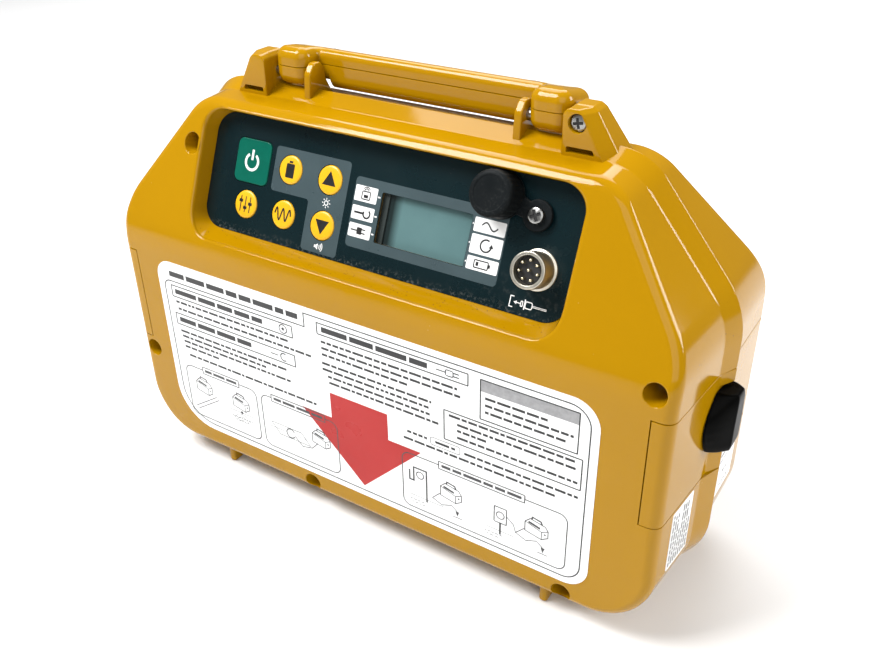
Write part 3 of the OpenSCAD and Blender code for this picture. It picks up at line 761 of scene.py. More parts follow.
# ------------------------------------------------------------------ side doors
def door(s):
    sk = Skin()
    z0, z1 = D0 + 0.28, D1 - 0.5
    e = 5.0
    xf = HW - DRAFT_F * 45.0
    prof = [(133.25, -49.998)]
    for a in PHI[::-1]:
        prof.append((xf - e * (1 - math.cos(a)), -50 + e * (1 - math.sin(a))))
    w_ = 7.4
    rim = [(HW - DRAFT_F * w_ * f + RIM_H * g, -w_ * f) for g, f in RIM]
    prof_rim = prof + rim + [(HW, 0.0)]
    prof_flat = prof + [(HW - DRAFT_F * w_ * f, -w_ * f) for g, f in RIM] + [(HW, 0.0)]
    rearp = [(HW, 0.05)] + [(HW - 0.2 - 5 * (1 - math.cos(a)), 43 + 5 * math.sin(a)) for a in arc_steps(10)]
    rearp = [p for p in rearp if p[0] > 132.3] + [(132.0, 47.99)]
    rearn = rearp[:-1] + [(136.1, 47.995)]

    def section(top, cut, w):
        """The door's outer line, sunk by w, and cut back at the case's hinge knuckles."""
        line = (prof_rim if top else prof_flat) + (rearn if cut else rearp)
        n = len(line)
        q = []
        for i, p in enumerate(line):
            a, b = np.array(line[max(0, i - 1)]), np.array(line[min(n - 1, i + 1)])
            t = b - a
            if np.linalg.norm(t) < 1e-9:
                t = np.array([0.0, 1.0])
            t = unit(t)
            nn = np.array([t[1], -t[0]])
            q.append(np.array(p) - nn * w)
        return q

    zs = [(z0, 0.30, True), (z0 + 0.09, 0.09, True), (z0 + 0.30, 0.0, True), (71.68, 0.0, True), (71.70, 0.0, True), (81.80, 0.0, True), (81.82, 0.0, True), (82.0, 0.0, True), (82.3, 0.0, False)]
    zs += [(102.18, 0.0, False), (102.20, 0.0, False), (110.8, 0.0, False), (111.1, 0.0, True), (112.20, 0.0, True), (112.22, 0.0, True), (z1 - 0.30, 0.0, True), (z1 - 0.09, 0.09, True), (z1, 0.30, True)]
    rings = []
    for z, w, top in zs:
        cut = 71.69 < z < 81.81 or 102.19 < z < 112.21
        rings.append([(s * p[0], p[1], z) for p in section(top, cut, w)])
    ids = [sk.ring(r) for r in rings]
    for a, b in zip(ids, ids[1:]):
        sk.bridge(a, b, closed=False)
    # thickness behind the edges
    for r, z in ((ids[0], z0), (ids[-1], z1)):
        inn = sk.ring([(s * (abs(sk.v[k][0]) - (3.0 if abs(sk.v[k][0]) > 136 else 0)), min(45.0, max(-47.0, sk.v[k][1])), z) for k in r])
        sk.bridge(r, inn, closed=False)
    for col in (0, -1):
        line = [r[col] for r in ids]
        y = -47.0 if col == 0 else 45.0
        inn = sk.ring([(sk.v[k][0], y, sk.v[k][2]) for k in line])
        sk.bridge(line, inn, closed=False)
    # inner face
    inner = [(133.4, -47), (137.2, -46.4), (138.6, -44), (139.2, -38), (141.8, -2), (141.8, 41), (140.6, 44.2), (132.6, 45)]
    sk.loft([[(s * x, y, z) for x, y in inner] for z in (z0, z1)], closed=False)
    # pivot cheeks of the latch and the hinge's middle knuckle
    for y in (-7.8, -0.6):
        sk.add(slab(*rpoly([(143.6, 104.1), (148.4, 104.1), (149.4, 105.2), (149.4, 107.9), (148.4, 108.9), (143.6, 108.9)], 0.7, 3), y - 1.1, y + 1.1, 0.25, 0.25, lambda a, b, h: (s * a, h, b), 2))
    lathe([(2.2, 82.0), (2.6, 82.4), (2.6, 101.6), (2.2, 102.0)], lambda a, b, h: (s * 133 + a, 47.7 + b, h), 28, sk)
    return sk


build("door_right", door(1), YELLOW, "right_door", ["right_door"], angle=42)
build("door_left", door(-1), YELLOW, "left_door", ["left_door"], angle=42)


def paddle(s):
    """Black lift latch: a leaf-shaped body with a flat raised spine."""
    sk = Skin()
    yc, z0, z1 = -4.3, 83.4, 109.9
    rows = []
    zs = [z0, z0 + 0.12, z0 + 0.4, z0 + 0.9] + list(np.linspace(z0 + 1.7, z1 - 1.7, 26)) + [z1 - 0.9, z1 - 0.4, z1 - 0.12, z1]
    ends = {0: 0.75, 1: 0.42, 2: 0.16, 3: 0.04}
    m = len(zs)
    for i, z in enumerate(zs):
        t = (z - z0) / (z1 - z0)
        sink = ends.get(min(i, m - 1 - i), 0.0) * (1.0 if i < m / 2 else 1.1)
        wide = float(np.interp(t, [0, 0.06, 0.15, 0.3, 0.45, 0.6, 0.72, 0.84, 0.93, 1.0], [9.6, 10.6, 12.0, 13.6, 14.2, 13.6, 12.2, 9.8, 7.6, 5.9])) - sink
        spine = float(np.interp(t, [0, 0.12, 0.5, 0.85, 1.0], [4.1, 4.8, 4.9, 4.3, 3.4])) - sink * 0.7
        top = 153.1 - sink - 0.5 * max(0.0, (t - 0.8) / 0.2) ** 2 - 0.7 * max(0.0, (0.16 - t) / 0.16) ** 2
        row = []
        for y in (-wide, -wide + 0.02):
            row.append((HW + DRAFT_F * min(0.0, yc + y) + (0.35 if y == -wide else 1.2), y))
        x0, y0 = row[-1]
        for k in np.linspace(0.06, 0.94, 9):
            row.append((x0 + (top - 0.5 - x0) * k, y0 + (-spine - 0.35 - y0) * k - 0.75 * math.sin(math.pi * k)))
        row += [(top - 0.42, -spine - 0.22), (top - 0.14, -spine + 0.05), (top - 0.02, -spine + 0.4), (top, -spine + 1.0), (top, 0.0)]
        full = row + [(x, -y) for x, y in row[-2::-1]]
        full = [(x + (DRAFT_F * (min(0.0, yc + y) - min(0.0, yc - y)) if j > len(row) and j >= len(full) - 2 else 0.0), y) for j, (x, y) in enumerate(full)]
        rows.append([(s * x, yc + y, z) for x, y in full])
    sk.loft(rows, closed=False)
    sk.f.append(tuple(sk.ring(rows[0])))
    sk.f.append(tuple(sk.ring(rows[-1])))
    back_ = [(r[0], r[-1]) for r in rows]
    sk.loft([[b[0] for b in back_], [b[1] for b in back_]], closed=False)
    return sk


build("latch_right", paddle(1), BLACK, "right_latch", ["right_paddle"], angle=32)
build("latch_left", paddle(-1), BLACK, "left_latch", ["left_paddle"], angle=32)


# ------------------------------------------------------------------ grip
GRIP_TOP = ([-5, 2.0, 4.2, 6.4, 9.0, 20.5], [213.35, 213.35, 213.2, 212.75, 212.1, 209.0])


def grip_top(y):
    return float(np.interp(y, *GRIP_TOP))


def grip(upper):
    pts, nor = rpoly(
        [(-72.4, -4.5), (-54.8, -4.5), (-54.8, 6.2), (54.8, 6.2), (54.8, -4.5), (72.4, -4.5), (72.4, 20.5), (-72.4, 20.5)],
        [5.4, 5.4, 0.9, 0.9, 5.4, 5.4, 7, 7], 8,
    )
    def low(x, y):
        t = min(1.0, max(0.0, (50.1 - abs(x)) / 1.2))
        return 196.8 + 0.9 * min(1.0, max(0.0, (y + 1.0) / 7.0)) - 3.1 * t * t * (3 - 2 * t)

    e = 4.6
    sk = Skin()
    rings = []
    more, morn = [], []
    for i in range(len(pts)):
        a, b = pts[i], pts[(i + 1) % len(pts)]
        k = max(1, int(np.linalg.norm(b - a) / 0.5)) if abs(a[0] - b[0]) > 60 else 1
        for j in range(k):
            more.append(a + (b - a) * j / k)
            morn.append(nor[i] + (nor[(i + 1) % len(pts)] - nor[i]) * j / k)
    pts, nor = more, morn
    for a in arc_steps(9):
        d = e * (1 - math.cos(a))
        h = e * (1 - math.sin(a))
        rings.append([(*(p - n * d), (grip_top((p - n * d)[1]) - h) if upper else (low(*(p - n * d)) + h)) for p, n in zip(pts, nor)])
    z = 205.55 if upper else 205.35
    k = 0.25 if upper else -0.25
    seam = [[(*(p - n * 3.0), z) for p, n in zip(pts, nor)], [(*(p - n * 0.25), z) for p, n in zip(pts, nor)], [(*(p - n * 0.05), z + 0.3 * k) for p, n in zip(pts, nor)], [(*p, z + k) for p in pts]]
    sk.loft(seam + rings, cap0=True)
    loop = [(q[0], q[1]) for q in rings[-1]]
    extra = [(x, y) for x in sorted(list(np.arange(-66, 66.1, 3.0)) + [k * q for k in (-1, 1) for q in (48.9, 49.3, 49.7, 50.1)]) for y in (-1.0, 2.0, 4.2, 6.4, 9.0, 12.0, 14.5) if inside(loop, (x, y))]
    q, tri = fill(loop, [], extra)
    sk.tris([(a, b, grip_top(b) if upper else low(a, b)) for a, b in q], tri)
    return sk


build("grip_upper", grip(True), YELLOW, "handle", ["handle_upper"], angle=50)
build("grip_lower", grip(False), YELLOW, "handle", ["handle_lower"], angle=50)


# ------------------------------------------------------------------ panel film
def panel_film_plate():
    sk = Skin()
    base, bn = rpoly([(93.5, -25.4), (93.5, 27.75), (-93.5, 27.75), (-93.5, -25.4)], 10, 12)
    holes = []
    for u, v in KEYS.values():
        c, _ = circle(u, v, 6.65, 48)
        holes.append(c)
    sq, _ = rpoly([(POWER[0] + 10.1, POWER[1] - 10.1), (POWER[0] + 10.1, POWER[1] + 10.1), (POWER[0] - 10.1, POWER[1] + 10.1), (POWER[0] - 10.1, POWER[1] - 10.1)], 3.2, 6)
    holes.append(sq)
    lc, _ = rpoly([(46.25, -13.05), (46.25, 8.15), (2.45, 8.15), (2.45, -13.05)], 0.8, 4)
    holes.append(lc)
    pts, tri = fill([tuple(p) for p in base], [[tuple(q) for q in h] for h in holes])
    sk.tris([on_panel(a, b, 0) for a, b in pts], tri)
    sk.loft([[on_panel(*p, 0) for p in base], [on_panel(*p, -1.2) for p in base]])
    for h in holes:
        sk.loft([[on_panel(*p, 0) for p in h], [on_panel(*p, -0.9 if h is not lc else -0.45) for p in h]])
    return sk


KEYS = {"key_mode": (-47.4, 8.1), "key_adjust": (-69.7, -11.8), "key_frequency": (-47.4, -11.9), "key_up": (-25.3, 7.9), "key_down": (-25.3, -12.1)}
POWER = (-69.5, 7.8)
build("panel_film", panel_film_plate(), FILM, "case", ["panel_overlay"], angle=30)


for node, (u, v) in KEYS.items():
    prof = [(0.02, 0.55), (1.5, 0.549), (3.0, 0.545), (4.0, 0.535), (5.0, 0.51), (5.5, 0.45), (5.9, 0.34), (6.15, 0.19), (6.3, 0.02), (6.38, -0.2), (6.4, -0.8)]
    build(node + "_top", lathe(prof, panel_at(u, v), 64, cap0=True, cap1=False), KEY_YELLOW, node, [node], outward=tuple(PN))
sq, sqn = rpoly([(9.8, -9.8), (9.8, 9.8), (-9.8, 9.8), (-9.8, -9.8)], 3.0, 7)
build("key_power_top", slab(sq, sqn, -0.8, 0.42, 0, 0.4, panel_at(*POWER), 4), KEY_GREEN, "key_power", ["key_power"])


# ------------------------------------------------------------------ display
def frame_wall():
    sk = Skin()
    lc, ln = rpoly([(46.25, -13.05), (46.25, 8.15), (2.45, 8.15), (2.45, -13.05)], 0.8, 4)
    sk.loft([[on_panel(*p, h) for p in lc] for h in (-0.45, -1.5)])
    return sk


# the window's wall takes the yellow edge darkened as painted shade
build("window_wall", frame_wall(), YELLOW_EDGE_SHADE, "case")
# the display's dark border, seen only along the window's left side: partly the real border, partly painted shade cast
# by the window wall
lcb = Skin()
border_shade_outline, _ = rpoly([(49.5, -16.2), (49.5, 11.3), (0.4, 11.3), (0.4, -16.2)], 0.5, 2)
act, _ = rpoly([(48.6, -15.4), (48.6, 10.4), (5.2, 10.4), (5.2, -15.4)], 0.6, 3)
pts, tri = fill([tuple(p) for p in border_shade_outline], [[tuple(p) for p in act]])
lcb.tris([on_panel(a, b, -1.9) for a, b in pts], tri)
lcb.loft([[on_panel(*p, -1.9) for p in act], [on_panel(*p, -2.7) for p in act]])
build("lcd_border_shade_plate", lcb, LCD_BORDER_SHADE, "case")
lcf = Skin()
gx, gy = np.linspace(5.2, 48.6, 15), np.linspace(-15.4, 10.4, 9)
lcf.loft([[on_panel(a, b, -2.6) for a in gx] for b in gy], closed=False)
build("lcd_face", lcf, LCD_FACE, "case", ["lcd_window"], outward=tuple(PN))


# ------------------------------------------------------------------ connector
CONN = (78.3, -6.4)
cb = Skin()
lathe([(8.2, 0.0), (8.2, 0.55), (8.0, 0.8), (7.3, 0.85), (7.1, 1.1), (7.1, 1.5)], panel_at(*CONN), 72, cb, cap0=False, cap1=False)
turns, nth, nz = 6.2, 72, 90
rows = []
for j in range(nz + 1):
    h = 1.5 + (9.0 - 1.5) * j / nz
    fade = min(1, (h - 1.5) / 0.5, (9.0 - h) / 0.5)
    ring_ = []
    for i in range(nth):
        a = 2 * math.pi * i / nth
        ph = (h / 1.2 - i / nth) % 1.0
        r = 7.05 + 0.24 * fade * (1 - abs(2 * ph - 1)) ** 0.85
        ring_.append(panel_at(*CONN)(r * math.cos(a), r * math.sin(a), h))
    rows.append(ring_)
cb.loft(rows)
lathe([(7.05, 9.0), (7.2, 9.15), (7.22, 9.6), (7.1, 9.88), (6.85, 10.0), (5.95, 10.0), (5.78, 9.86), (5.7, 9.6), (5.7, 6.0)], panel_at(*CONN), 72, cb, cap0=False, cap1=False)
build("connector_barrel", cb, NICKEL, "case", ["connector_body"], angle=60)
ins = Skin()
lathe([(0.02, 6.9), (5.0, 6.9), (5.25, 6.8), (5.3, 6.5), (5.75, 6.4), (5.75, 6.0)], panel_at(*CONN), 48, ins, cap0=True, cap1=False)
build("connector_face", ins, BLACK_MATT, "case", ["connector_insert"], outward=tuple(PN))
pn = Skin()
for a in range(8):
    t = math.radians(90 + (a - 1) * 51.43)
    u, v = (0, 0) if a == 0 else (3.9 * math.cos(t), 3.9 * math.sin(t))
    lathe([(0.62, 6.9), (0.62, 8.7), (0.55, 9.0), (0.36, 9.2), (0.1, 9.25)], panel_at(CONN[0] + u, CONN[1] + v), 20, pn, cap0=False)
build("connector_contacts", pn, CONTACT, "case", ["connector_pins"])

# ------------------------------------------------------------------ dust cap on its strap
CAP, STRAP = np.array([57.6, 18.2]), np.array([74.0, 13.6])
dc = Skin()
n = 96
prof = [(8.5, 0.7), (9.2, 0.85), (9.5, 1.3), (9.5, 2.0), (9.25, 2.4), (9.2, 2.8), (9.2, 10.6), (9.1, 11.6), (8.75, 12.5), (8.05, 13.0), (7.2, 13.15), (6.8, 13.05), (6.6, 12.85), (3.0, 12.75), (0.05, 12.72)]
rings = []
for r, h in prof:
    ring_ = []
    for i in range(n):
        a = 2 * math.pi * i / n
        k = 0.16 * math.cos(24 * a) if 2.8 <= h <= 10.7 and r > 8 else 0
        ring_.append(panel_at(*CAP)((r + k) * math.cos(a), (r + k) * math.sin(a), h))
    rings.append(ring_)
dc.loft(rings, cap0=False, cap1=True)
lathe([(8.5, 0.7), (7.5, 0.75), (7.5, 10.4), (0.05, 10.5)], panel_at(*CAP), 48, dc, cap0=False, cap1=True)
d = unit(CAP - STRAP)
e = np.array([-d[1], d[0]])
pts = []
L = float(np.linalg.norm(CAP - STRAP)) - 7.4
for t in np.linspace(-math.radians(145), math.radians(145), 28):
    pts.append(STRAP - d * 6.2 * math.cos(t) - e * 6.2 * math.sin(t))
pts = [STRAP + d * L - e * 3.9, STRAP + d * L + e * 3.9][::-1] + pts[::-1]
P_ = np.array(pts)
area = sum(P_[i - 1][0] * P_[i][1] - P_[i][0] * P_[i - 1][1] for i in range(len(P_)))
if area < 0:
    P_ = P_[::-1]
nn = []
for i in range(len(P_)):
    t = unit(P_[(i + 1) % len(P_)] - P_[i - 1])
    nn.append(np.array([t[1], -t[0]]))
slab(P_, np.array(nn), 0.7, 2.3, 0.3, 0.6, on_panel, 3, dc)
build("dust_cap_body", dc, RUBBER, "dust_cap", ["dust_cap"], angle=42)


def cross_head(T, r, h0, h1, spin=0.3, arm=0.62, half=0.17):
    """Domed screw head with a cross recess, raised along the third axis of T."""
    sk = Skin()
    k = []
    a, b = r * arm, r * half
    for x, y in ((a, -b), (a, b), (b, b), (b, a), (-b, a), (-b, b), (-a, b), (-a, -b), (-b, -b), (-b, -a), (b, -a), (b, -b)):
        k.append((x * math.cos(spin) - y * math.sin(spin), x * math.sin(spin) + y * math.cos(spin)))
    rim, _ = circle(0, 0, r * 0.8, 40)
    pts, tri = fill([tuple(p) for p in rim], [k])
    top = h1
    dome = lambda p: top - 0.12 * r * (math.hypot(*p) / r) ** 2
    sk.tris([T(p[0], p[1], dome(p)) for p in pts], tri)
    sk.loft([[T(x, y, dome((x, y))) for x, y in k], [T(x * 0.8, y * 0.8, top - 0.42 * r) for x, y in k]], cap1=True)
    lathe([(r * 0.8, dome((r * 0.8, 0))), (r * 0.93, top - 0.17 * r), (r, top - 0.34 * r), (r, h0)], T, 40, sk, cap0=False, cap1=False)
    return sk


def cross_recess_shade(T, r, h1, spin, arm=0.62, half=0.17, skin=None):
    """Dark plate a little way down a screw's cross recess: painted shade."""
    sk = skin or Skin()
    a, b = r * arm * 0.97, r * half * 0.97
    k = []
    for x, y in ((a, -b), (a, b), (b, b), (b, a), (-b, a), (-b, b), (-a, b), (-a, -b), (-b, -b), (-b, -a), (b, -a), (b, -b)):
        k.append((x * math.cos(spin) - y * math.sin(spin), x * math.sin(spin) + y * math.cos(spin)))
    pts, tri = fill(k, [])
    sk.tris([T(p[0], p[1], h1 - 0.15 * r) for p in pts], tri)
    return sk


EAR_T = lambda a, b, h: np.array([79 + a, -h, 205 + b])
build("strap_screw", cross_head(panel_at(*STRAP), 3.3, 2.3, 4.5, 0.5, 0.7, 0.19), STEEL, "case", ["cap_screw"], angle=30)
# near-black plates inside the cross recesses of the strap and ear screws: painted shade
build("strap_screw_cross_shade", cross_recess_shade(panel_at(*STRAP), 3.3, 4.5, 0.5, 0.7, 0.19), BLACK_MATT, "case", outward=tuple(PN))
build("ear_screw_cross_shade", cross_recess_shade(EAR_T, 3.4, 9.4, 0.2), BLACK_MATT, "case", outward=(0, -1, 0))
build("ear_screw", cross_head(EAR_T, 3.4, 7.2, 9.4, 0.2), STEEL, "case", angle=30)
cs = Skin()
for x, z, yb in SCREWS:
    cs.add(cross_head(lambda a, b, h, x=x, z=z: np.array([x + a, -h, z + b]), 3.7, -yb, -yb + 2.8, 0.4 + x * 0.01))
build("case_screw_heads", cs, STEEL, "case", ["case_screws"], angle=30)
gs = Skin()
for x in (-50.0, 50.0):
    gs.add(cross_head(lambda a, b, h, x=x: np.array([x + a, 13 + 0.965 * b + 0.262 * h, grip_top(13) - 0.262 * b + 0.965 * h]), 2.6, -1.2, 0.14, 0.3))
build("grip_screw_heads", gs, STEEL, "handle", ["handle_screws"], angle=30)


# ------------------------------------------------------------------ printed graphics
class Ink:
    def __init__(self):
        self.p = []

    def poly(self, pts):
        self.p.append([tuple(float(c) for c in q) for q in pts])
        return self

    def rect(self, x0, y0, x1, y1, r=0.0):
        P = [(x1, y0), (x1, y1), (x0, y1), (x0, y0)]
        return self.poly(rpoly(P, r, 5)[0] if r else P)

    def ribbon(self, pts, w, closed=False):
        P = np.array(pts, float)
        m = len(P)
        L, R = [], []
        for i in range(m):
            a = P[i - 1] if (i or closed) else P[i]
            b = P[(i + 1) % m] if (i < m - 1 or closed) else P[i]
            t0 = unit(P[i] - a) if np.linalg.norm(P[i] - a) > 1e-9 else unit(b - P[i])
            t1 = unit(b - P[i]) if np.linalg.norm(b - P[i]) > 1e-9 else t0
            n0, n1 = np.array([-t0[1], t0[0]]), np.array([-t1[1], t1[0]])
            k = n0 + n1
            k = k / max(0.5, float(k @ n0))
            L.append(P[i] + k * w / 2)
            R.append(P[i] - k * w / 2)
        for i in range(m if closed else m - 1):
            j = (i + 1) % m
            self.poly([R[i], R[j], L[j], L[i]])
        return self

    def frame(self, x0, y0, x1, y1, r, w):
        return self.ribbon(rpoly([(x1, y0), (x1, y1), (x0, y1), (x0, y0)], r, 6)[0], w, True)

    def disc(self, x, y, r, n=28):
        return self.poly(circle(x, y, r, n)[0])

    def arc(self, x, y, r, a0, a1, w, n=24):
        return self.ribbon([(x + r * math.cos(math.radians(a0 + (a1 - a0) * k / n)), y + r * math.sin(math.radians(a0 + (a1 - a0) * k / n))) for k in range(n + 1)], w)

    def build(self, name, T, h, mat, body, slot=None, outward=None):
        sk = Skin()
        for P in self.p:
            sk.f.append(tuple(sk.ring([T(a, b, h(a, b) if callable(h) else h) for a, b in P])))
        ob = build(name, sk, mat, body, flat=True, merge=0.00001)
        if outward is not None:
            bm = bmesh.new()
            bm.from_mesh(ob.data)
            o = Vector(tuple(float(c) for c in outward))
            bmesh.ops.reverse_faces(bm, faces=[f for f in bm.faces if f.normal.dot(o) < 0])
            bm.to_mesh(ob.data)
            bm.free()
        return ob


# panel: grey zones, then white tags, then small black and white figures
z = Ink()
z.poly(rpoly([(-35, -24.3), (-15.5, -24.3), (-15.5, 17.4), (-57, 17.4), (-57, -2.5), (-35, -2.5)], 1.6, 5)[0])
zone_holes = [circle(*KEYS[k], 6.65, 40)[0] for k in ("key_mode", "key_up", "key_down")]
zs = Skin()
outer = [tuple(p) for p in z.p[0]]
pts, tri = fill(outer, [[tuple(q) for q in h] for h in zone_holes])
zs.tris([on_panel(a, b, 0.05) for a, b in pts], tri)
outer = [tuple(p) for p in rpoly([(62.2, -17.4), (62.2, 12.5), (-11.8, 12.5), (-11.8, -17.4)], 1.8, 5)[0]]
pts, tri = fill(outer, [[tuple(p) for p in rpoly([(46.35, -13.15), (46.35, 8.25), (2.35, 8.25), (2.35, -13.15)], 0.8, 4)[0]]])
zs.tris([on_panel(a, b, 0.05) for a, b in pts], tri)
build("panel_zones", zs, ZONE, "case", outward=tuple(PN))

LT = [(9.0, 2.4), (0.45, -5.35), (-7.1, -12.9)]
RT = [(7.75, 2.1), (1.15, -6.5), (-7.6, -12.95)]
w = Ink()
for a, b in LT:
    w.rect(-11.3, b, 0.1, a, 0.5)
    w.rect(0.55, (a + b) / 2 - 0.3, 1.75, (a + b) / 2 + 0.3)
for a, b in RT:
    w.rect(47.5, b, 61.6, a, 0.5)
    w.rect(46.75, (a + b) / 2 - 0.3, 47.2, (a + b) / 2 + 0.3)
# sun and loudspeaker by the arrow keys
sx, sy = -25.3, -2.1
w.arc(sx, sy, 0.95, 0, 360, 0.35, 20)
for k in range(8):
    t = math.radians(45 * k)
    w.ribbon([(sx + 1.5 * math.cos(t), sy + 1.5 * math.sin(t)), (sx + 2.2 * math.cos(t), sy + 2.2 * math.sin(t))], 0.34)
sx, sy = -26.3, -21.4
w.poly([(sx - 1.4, sy - 0.55), (sx - 0.5, sy - 0.55), (sx + 0.5, sy - 1.4), (sx + 0.5, sy + 1.4), (sx - 0.5, sy + 0.55), (sx - 1.4, sy + 0.55)])
for r in (1.2, 2.0, 2.8):
    w.arc(sx + 0.2, sy, r, -40, 40, 0.34, 8)
# plug and socket by the connector
px, py = 69.6, -20.6
w.ribbon([(px + 1.5, py + 2.1), (px, py + 2.1), (px, py - 2.1), (px + 1.5, py - 2.1)], 0.38)
w.poly([(px + 1.6, py), (px + 2.9, py - 0.75), (px + 2.9, py + 0.75)])
w.ribbon([(px + 2.8, py), (px + 4.6, py)], 0.34)
w.frame(px + 4.7, py - 1.0, px + 5.5, py + 1.0, 0.2, 0.34)
w.ribbon([(px + 6.4, py + 2.0), (px + 6.4, py - 2.0)], 0.5)
w.frame(px + 6.7, py - 1.3, px + 9.6, py + 1.3, 0.6, 0.38)
w.ribbon([(px + 9.7, py + 0.25), (px + 15.8, py + 0.25)], 0.26)
w.ribbon([(px + 9.7, py - 0.25), (px + 15.8, py - 0.25)], 0.26)
w.build("panel_print_white", on_panel, 0.09, INK_WHITE, "case", "label_white", PN)

k = Ink()
# left tags: a box with waves, a clamp and a plug
yc = (LT[0][0] + LT[0][1]) / 2
k.frame(-7.6, yc - 2.2, -3.4, yc + 1.1, 0.5, 0.5)
k.rect(-6.6, yc - 1.6, -4.4, yc - 0.3)
k.arc(-5.5, yc + 1.1, 1.2, 20, 160, 0.45, 8)
k.arc(-5.5, yc + 1.0, 2.0, 35, 145, 0.4, 8)
yc = (LT[1][0] + LT[1][1]) / 2
k.arc(-3.6, yc, 1.7, 150, 420, 0.75, 16)
k.ribbon([(-10.0, yc), (-5.2, yc)], 0.9)
yc = (LT[2][0] + LT[2][1]) / 2
k.poly(rpoly([(-4.4, yc - 1.5), (-4.4, yc + 1.5), (-7.0, yc + 1.5), (-7.0, yc - 1.5)], 0.4, 3)[0])
k.ribbon([(-10.2, yc), (-6.8, yc)], 0.6)
k.ribbon([(-4.6, yc + 0.8), (-2.6, yc + 0.8)], 0.55)
k.ribbon([(-4.6, yc - 0.8), (-2.6, yc - 0.8)], 0.55)
# right tags: a wave, a loop and a battery
yc = (RT[0][0] + RT[0][1]) / 2
k.ribbon([(51.0 + 7.2 * t / 24, yc + 1.35 * math.sin(2 * math.pi * t / 24)) for t in range(25)], 0.6)
yc = (RT[1][0] + RT[1][1]) / 2
k.arc(54.5, yc, 2.4, 60, 360, 0.7, 22)
k.poly([(55.9, yc - 0.5), (58.0, yc - 0.5), (56.95, yc + 1.2)])
yc = (RT[2][0] + RT[2][1]) / 2
k.frame(50.9, yc - 1.5, 57.2, yc + 1.5, 0.4, 0.5)
k.rect(57.4, yc - 0.7, 58.2, yc + 0.7)
k.rect(51.7, yc - 0.8, 52.9, yc + 0.8)
k.build("panel_print_black", on_panel, 0.13, INK, "case", "panel_dark", PN)

# key figures
u, v = POWER
pw = Ink()
pw.arc(-0.4, -0.3, 3.6, 122, 418, 1.2, 40)
pw.ribbon([(-0.4, 0.5), (-0.4, 5.2)], 1.2)
pw.build("key_power_print", panel_at(u, v), 0.46, INK_WHITE, "key_power", "label_white", PN)


def key_print(node, ink):
    u, v = KEYS[node]
    ink.build(node + "_print", panel_at(u, v), 0.575, INK, node, "panel_dark", PN)


key_print("key_up", Ink().poly([(-3.7, -2.4), (3.7, -2.4), (0, 3.9)]))
key_print("key_down", Ink().poly([(-3.7, 2.4), (0, -3.9), (3.7, 2.4)]))
i = Ink()
i.rect(-2.3, -3.6, 2.3, 2.7, 0.5)
i.rect(-1.0, 3.0, 1.0, 3.9)
key_print("key_mode", i)
i = Ink()
i.ribbon([(-4.5 + 9.0 * t / 48, 2.6 * math.sin(2 * math.pi * 2.5 * t / 48)) for t in range(49)], 0.75)
key_print("key_frequency", i)
i = Ink()
for a, b in ((-2.7, 1.4), (0, -1.6), (2.7, 0.4)):
    i.ribbon([(a, -3.6), (a, 3.6)], 0.55)
    i.rect(a - 1.1, b - 0.7, a + 1.1, b + 0.7, 0.2)
key_print("key_adjust", i)


# ------------------------------------------------------------------ labels
lab, labn = rpoly([(114.7, 22), (114.7, 116.4), (-119.8, 116.4), (-119.8, 22)], [11, 12, 9, 22], 10)
build("label_front", slab(lab, labn, 50.0, 50.22, 0, 0.06, front_xz, 2), WHITE, "case", ["front_label"])
LY = 50.25
rng = np.random.default_rng(7)


def dashes(ink, x0, x1, z, h, gap=1.0, lo=2.0, hi=7.5):
    """One row of short plain bars."""
    x = x0
    while x < x1 - 0.8:
        d = min(float(rng.uniform(lo, hi)), x1 - x)
        ink.rect(x, z - h / 2, x + d, z + h / 2)
        x += d + gap
    return ink


red = Ink()
red.poly([(-16, 75), (-16, 61), (-33.4, 61), (0.7, 28), (33.4, 61), (16, 61), (16, 75)])
red.build("label_arrow", front_xz, LY, INK_RED, "case", "label_white", (0, -1, 0))

bk = Ink()
bk.ribbon(rpoly([(111, 25.4), (111, 113.2), (-27.5, 113.2), (-27.5, 106.2), (-115.8, 106.2), (-115.8, 25.4)], [8, 9, 0, 0, 4, 19], 8)[0], 0.55, True)
for x0, z0, x1, z1 in ((-111.5, 97.8, -35.2, 103.9), (-111.6, 82.2, -35.2, 88.4), (-20.3, 104.9, 57.2, 110.6), (45.6, 73.9, 108.6, 89.0), (63.0, 91.0, 106.2, 110.2)):
    bk.frame(x0, z0, x1, z1, 0.25, 0.55)
# row of larger bars at the head of each block
dashes(bk, -111.5, -31.0, 110.2, 2.8, 1.3, 5.0, 13.0)
dashes(bk, -109.4, -53.0, 100.9, 2.6, 1.3, 7.0, 16.0)
dashes(bk, -109.4, -62.0, 85.3, 2.6, 1.3, 7.0, 16.0)
dashes(bk, -17.8, 38.5, 107.8, 2.7, 1.3, 7.0, 16.0)
# small figures in the head boxes: a ring, an open clamp and a plug
bk.arc(-40.6, 100.9, 2.2, 0, 360, 0.5, 28)
bk.disc(-40.6, 100.9, 0.8)
bk.ribbon([(-50.0, 85.3), (-45.2, 85.3)], 0.5)
bk.arc(-41.8, 85.3, 2.0, 55, 305, 0.6, 20)
bk.ribbon([(42.0, 107.8), (46.4, 107.8)], 0.5)
bk.frame(46.6, 106.4, 50.2, 109.2, 0.7, 0.45)
bk.ribbon([(50.4, 108.6), (53.0, 108.6)], 0.55)
bk.ribbon([(50.4, 107.0), (53.0, 107.0)], 0.55)
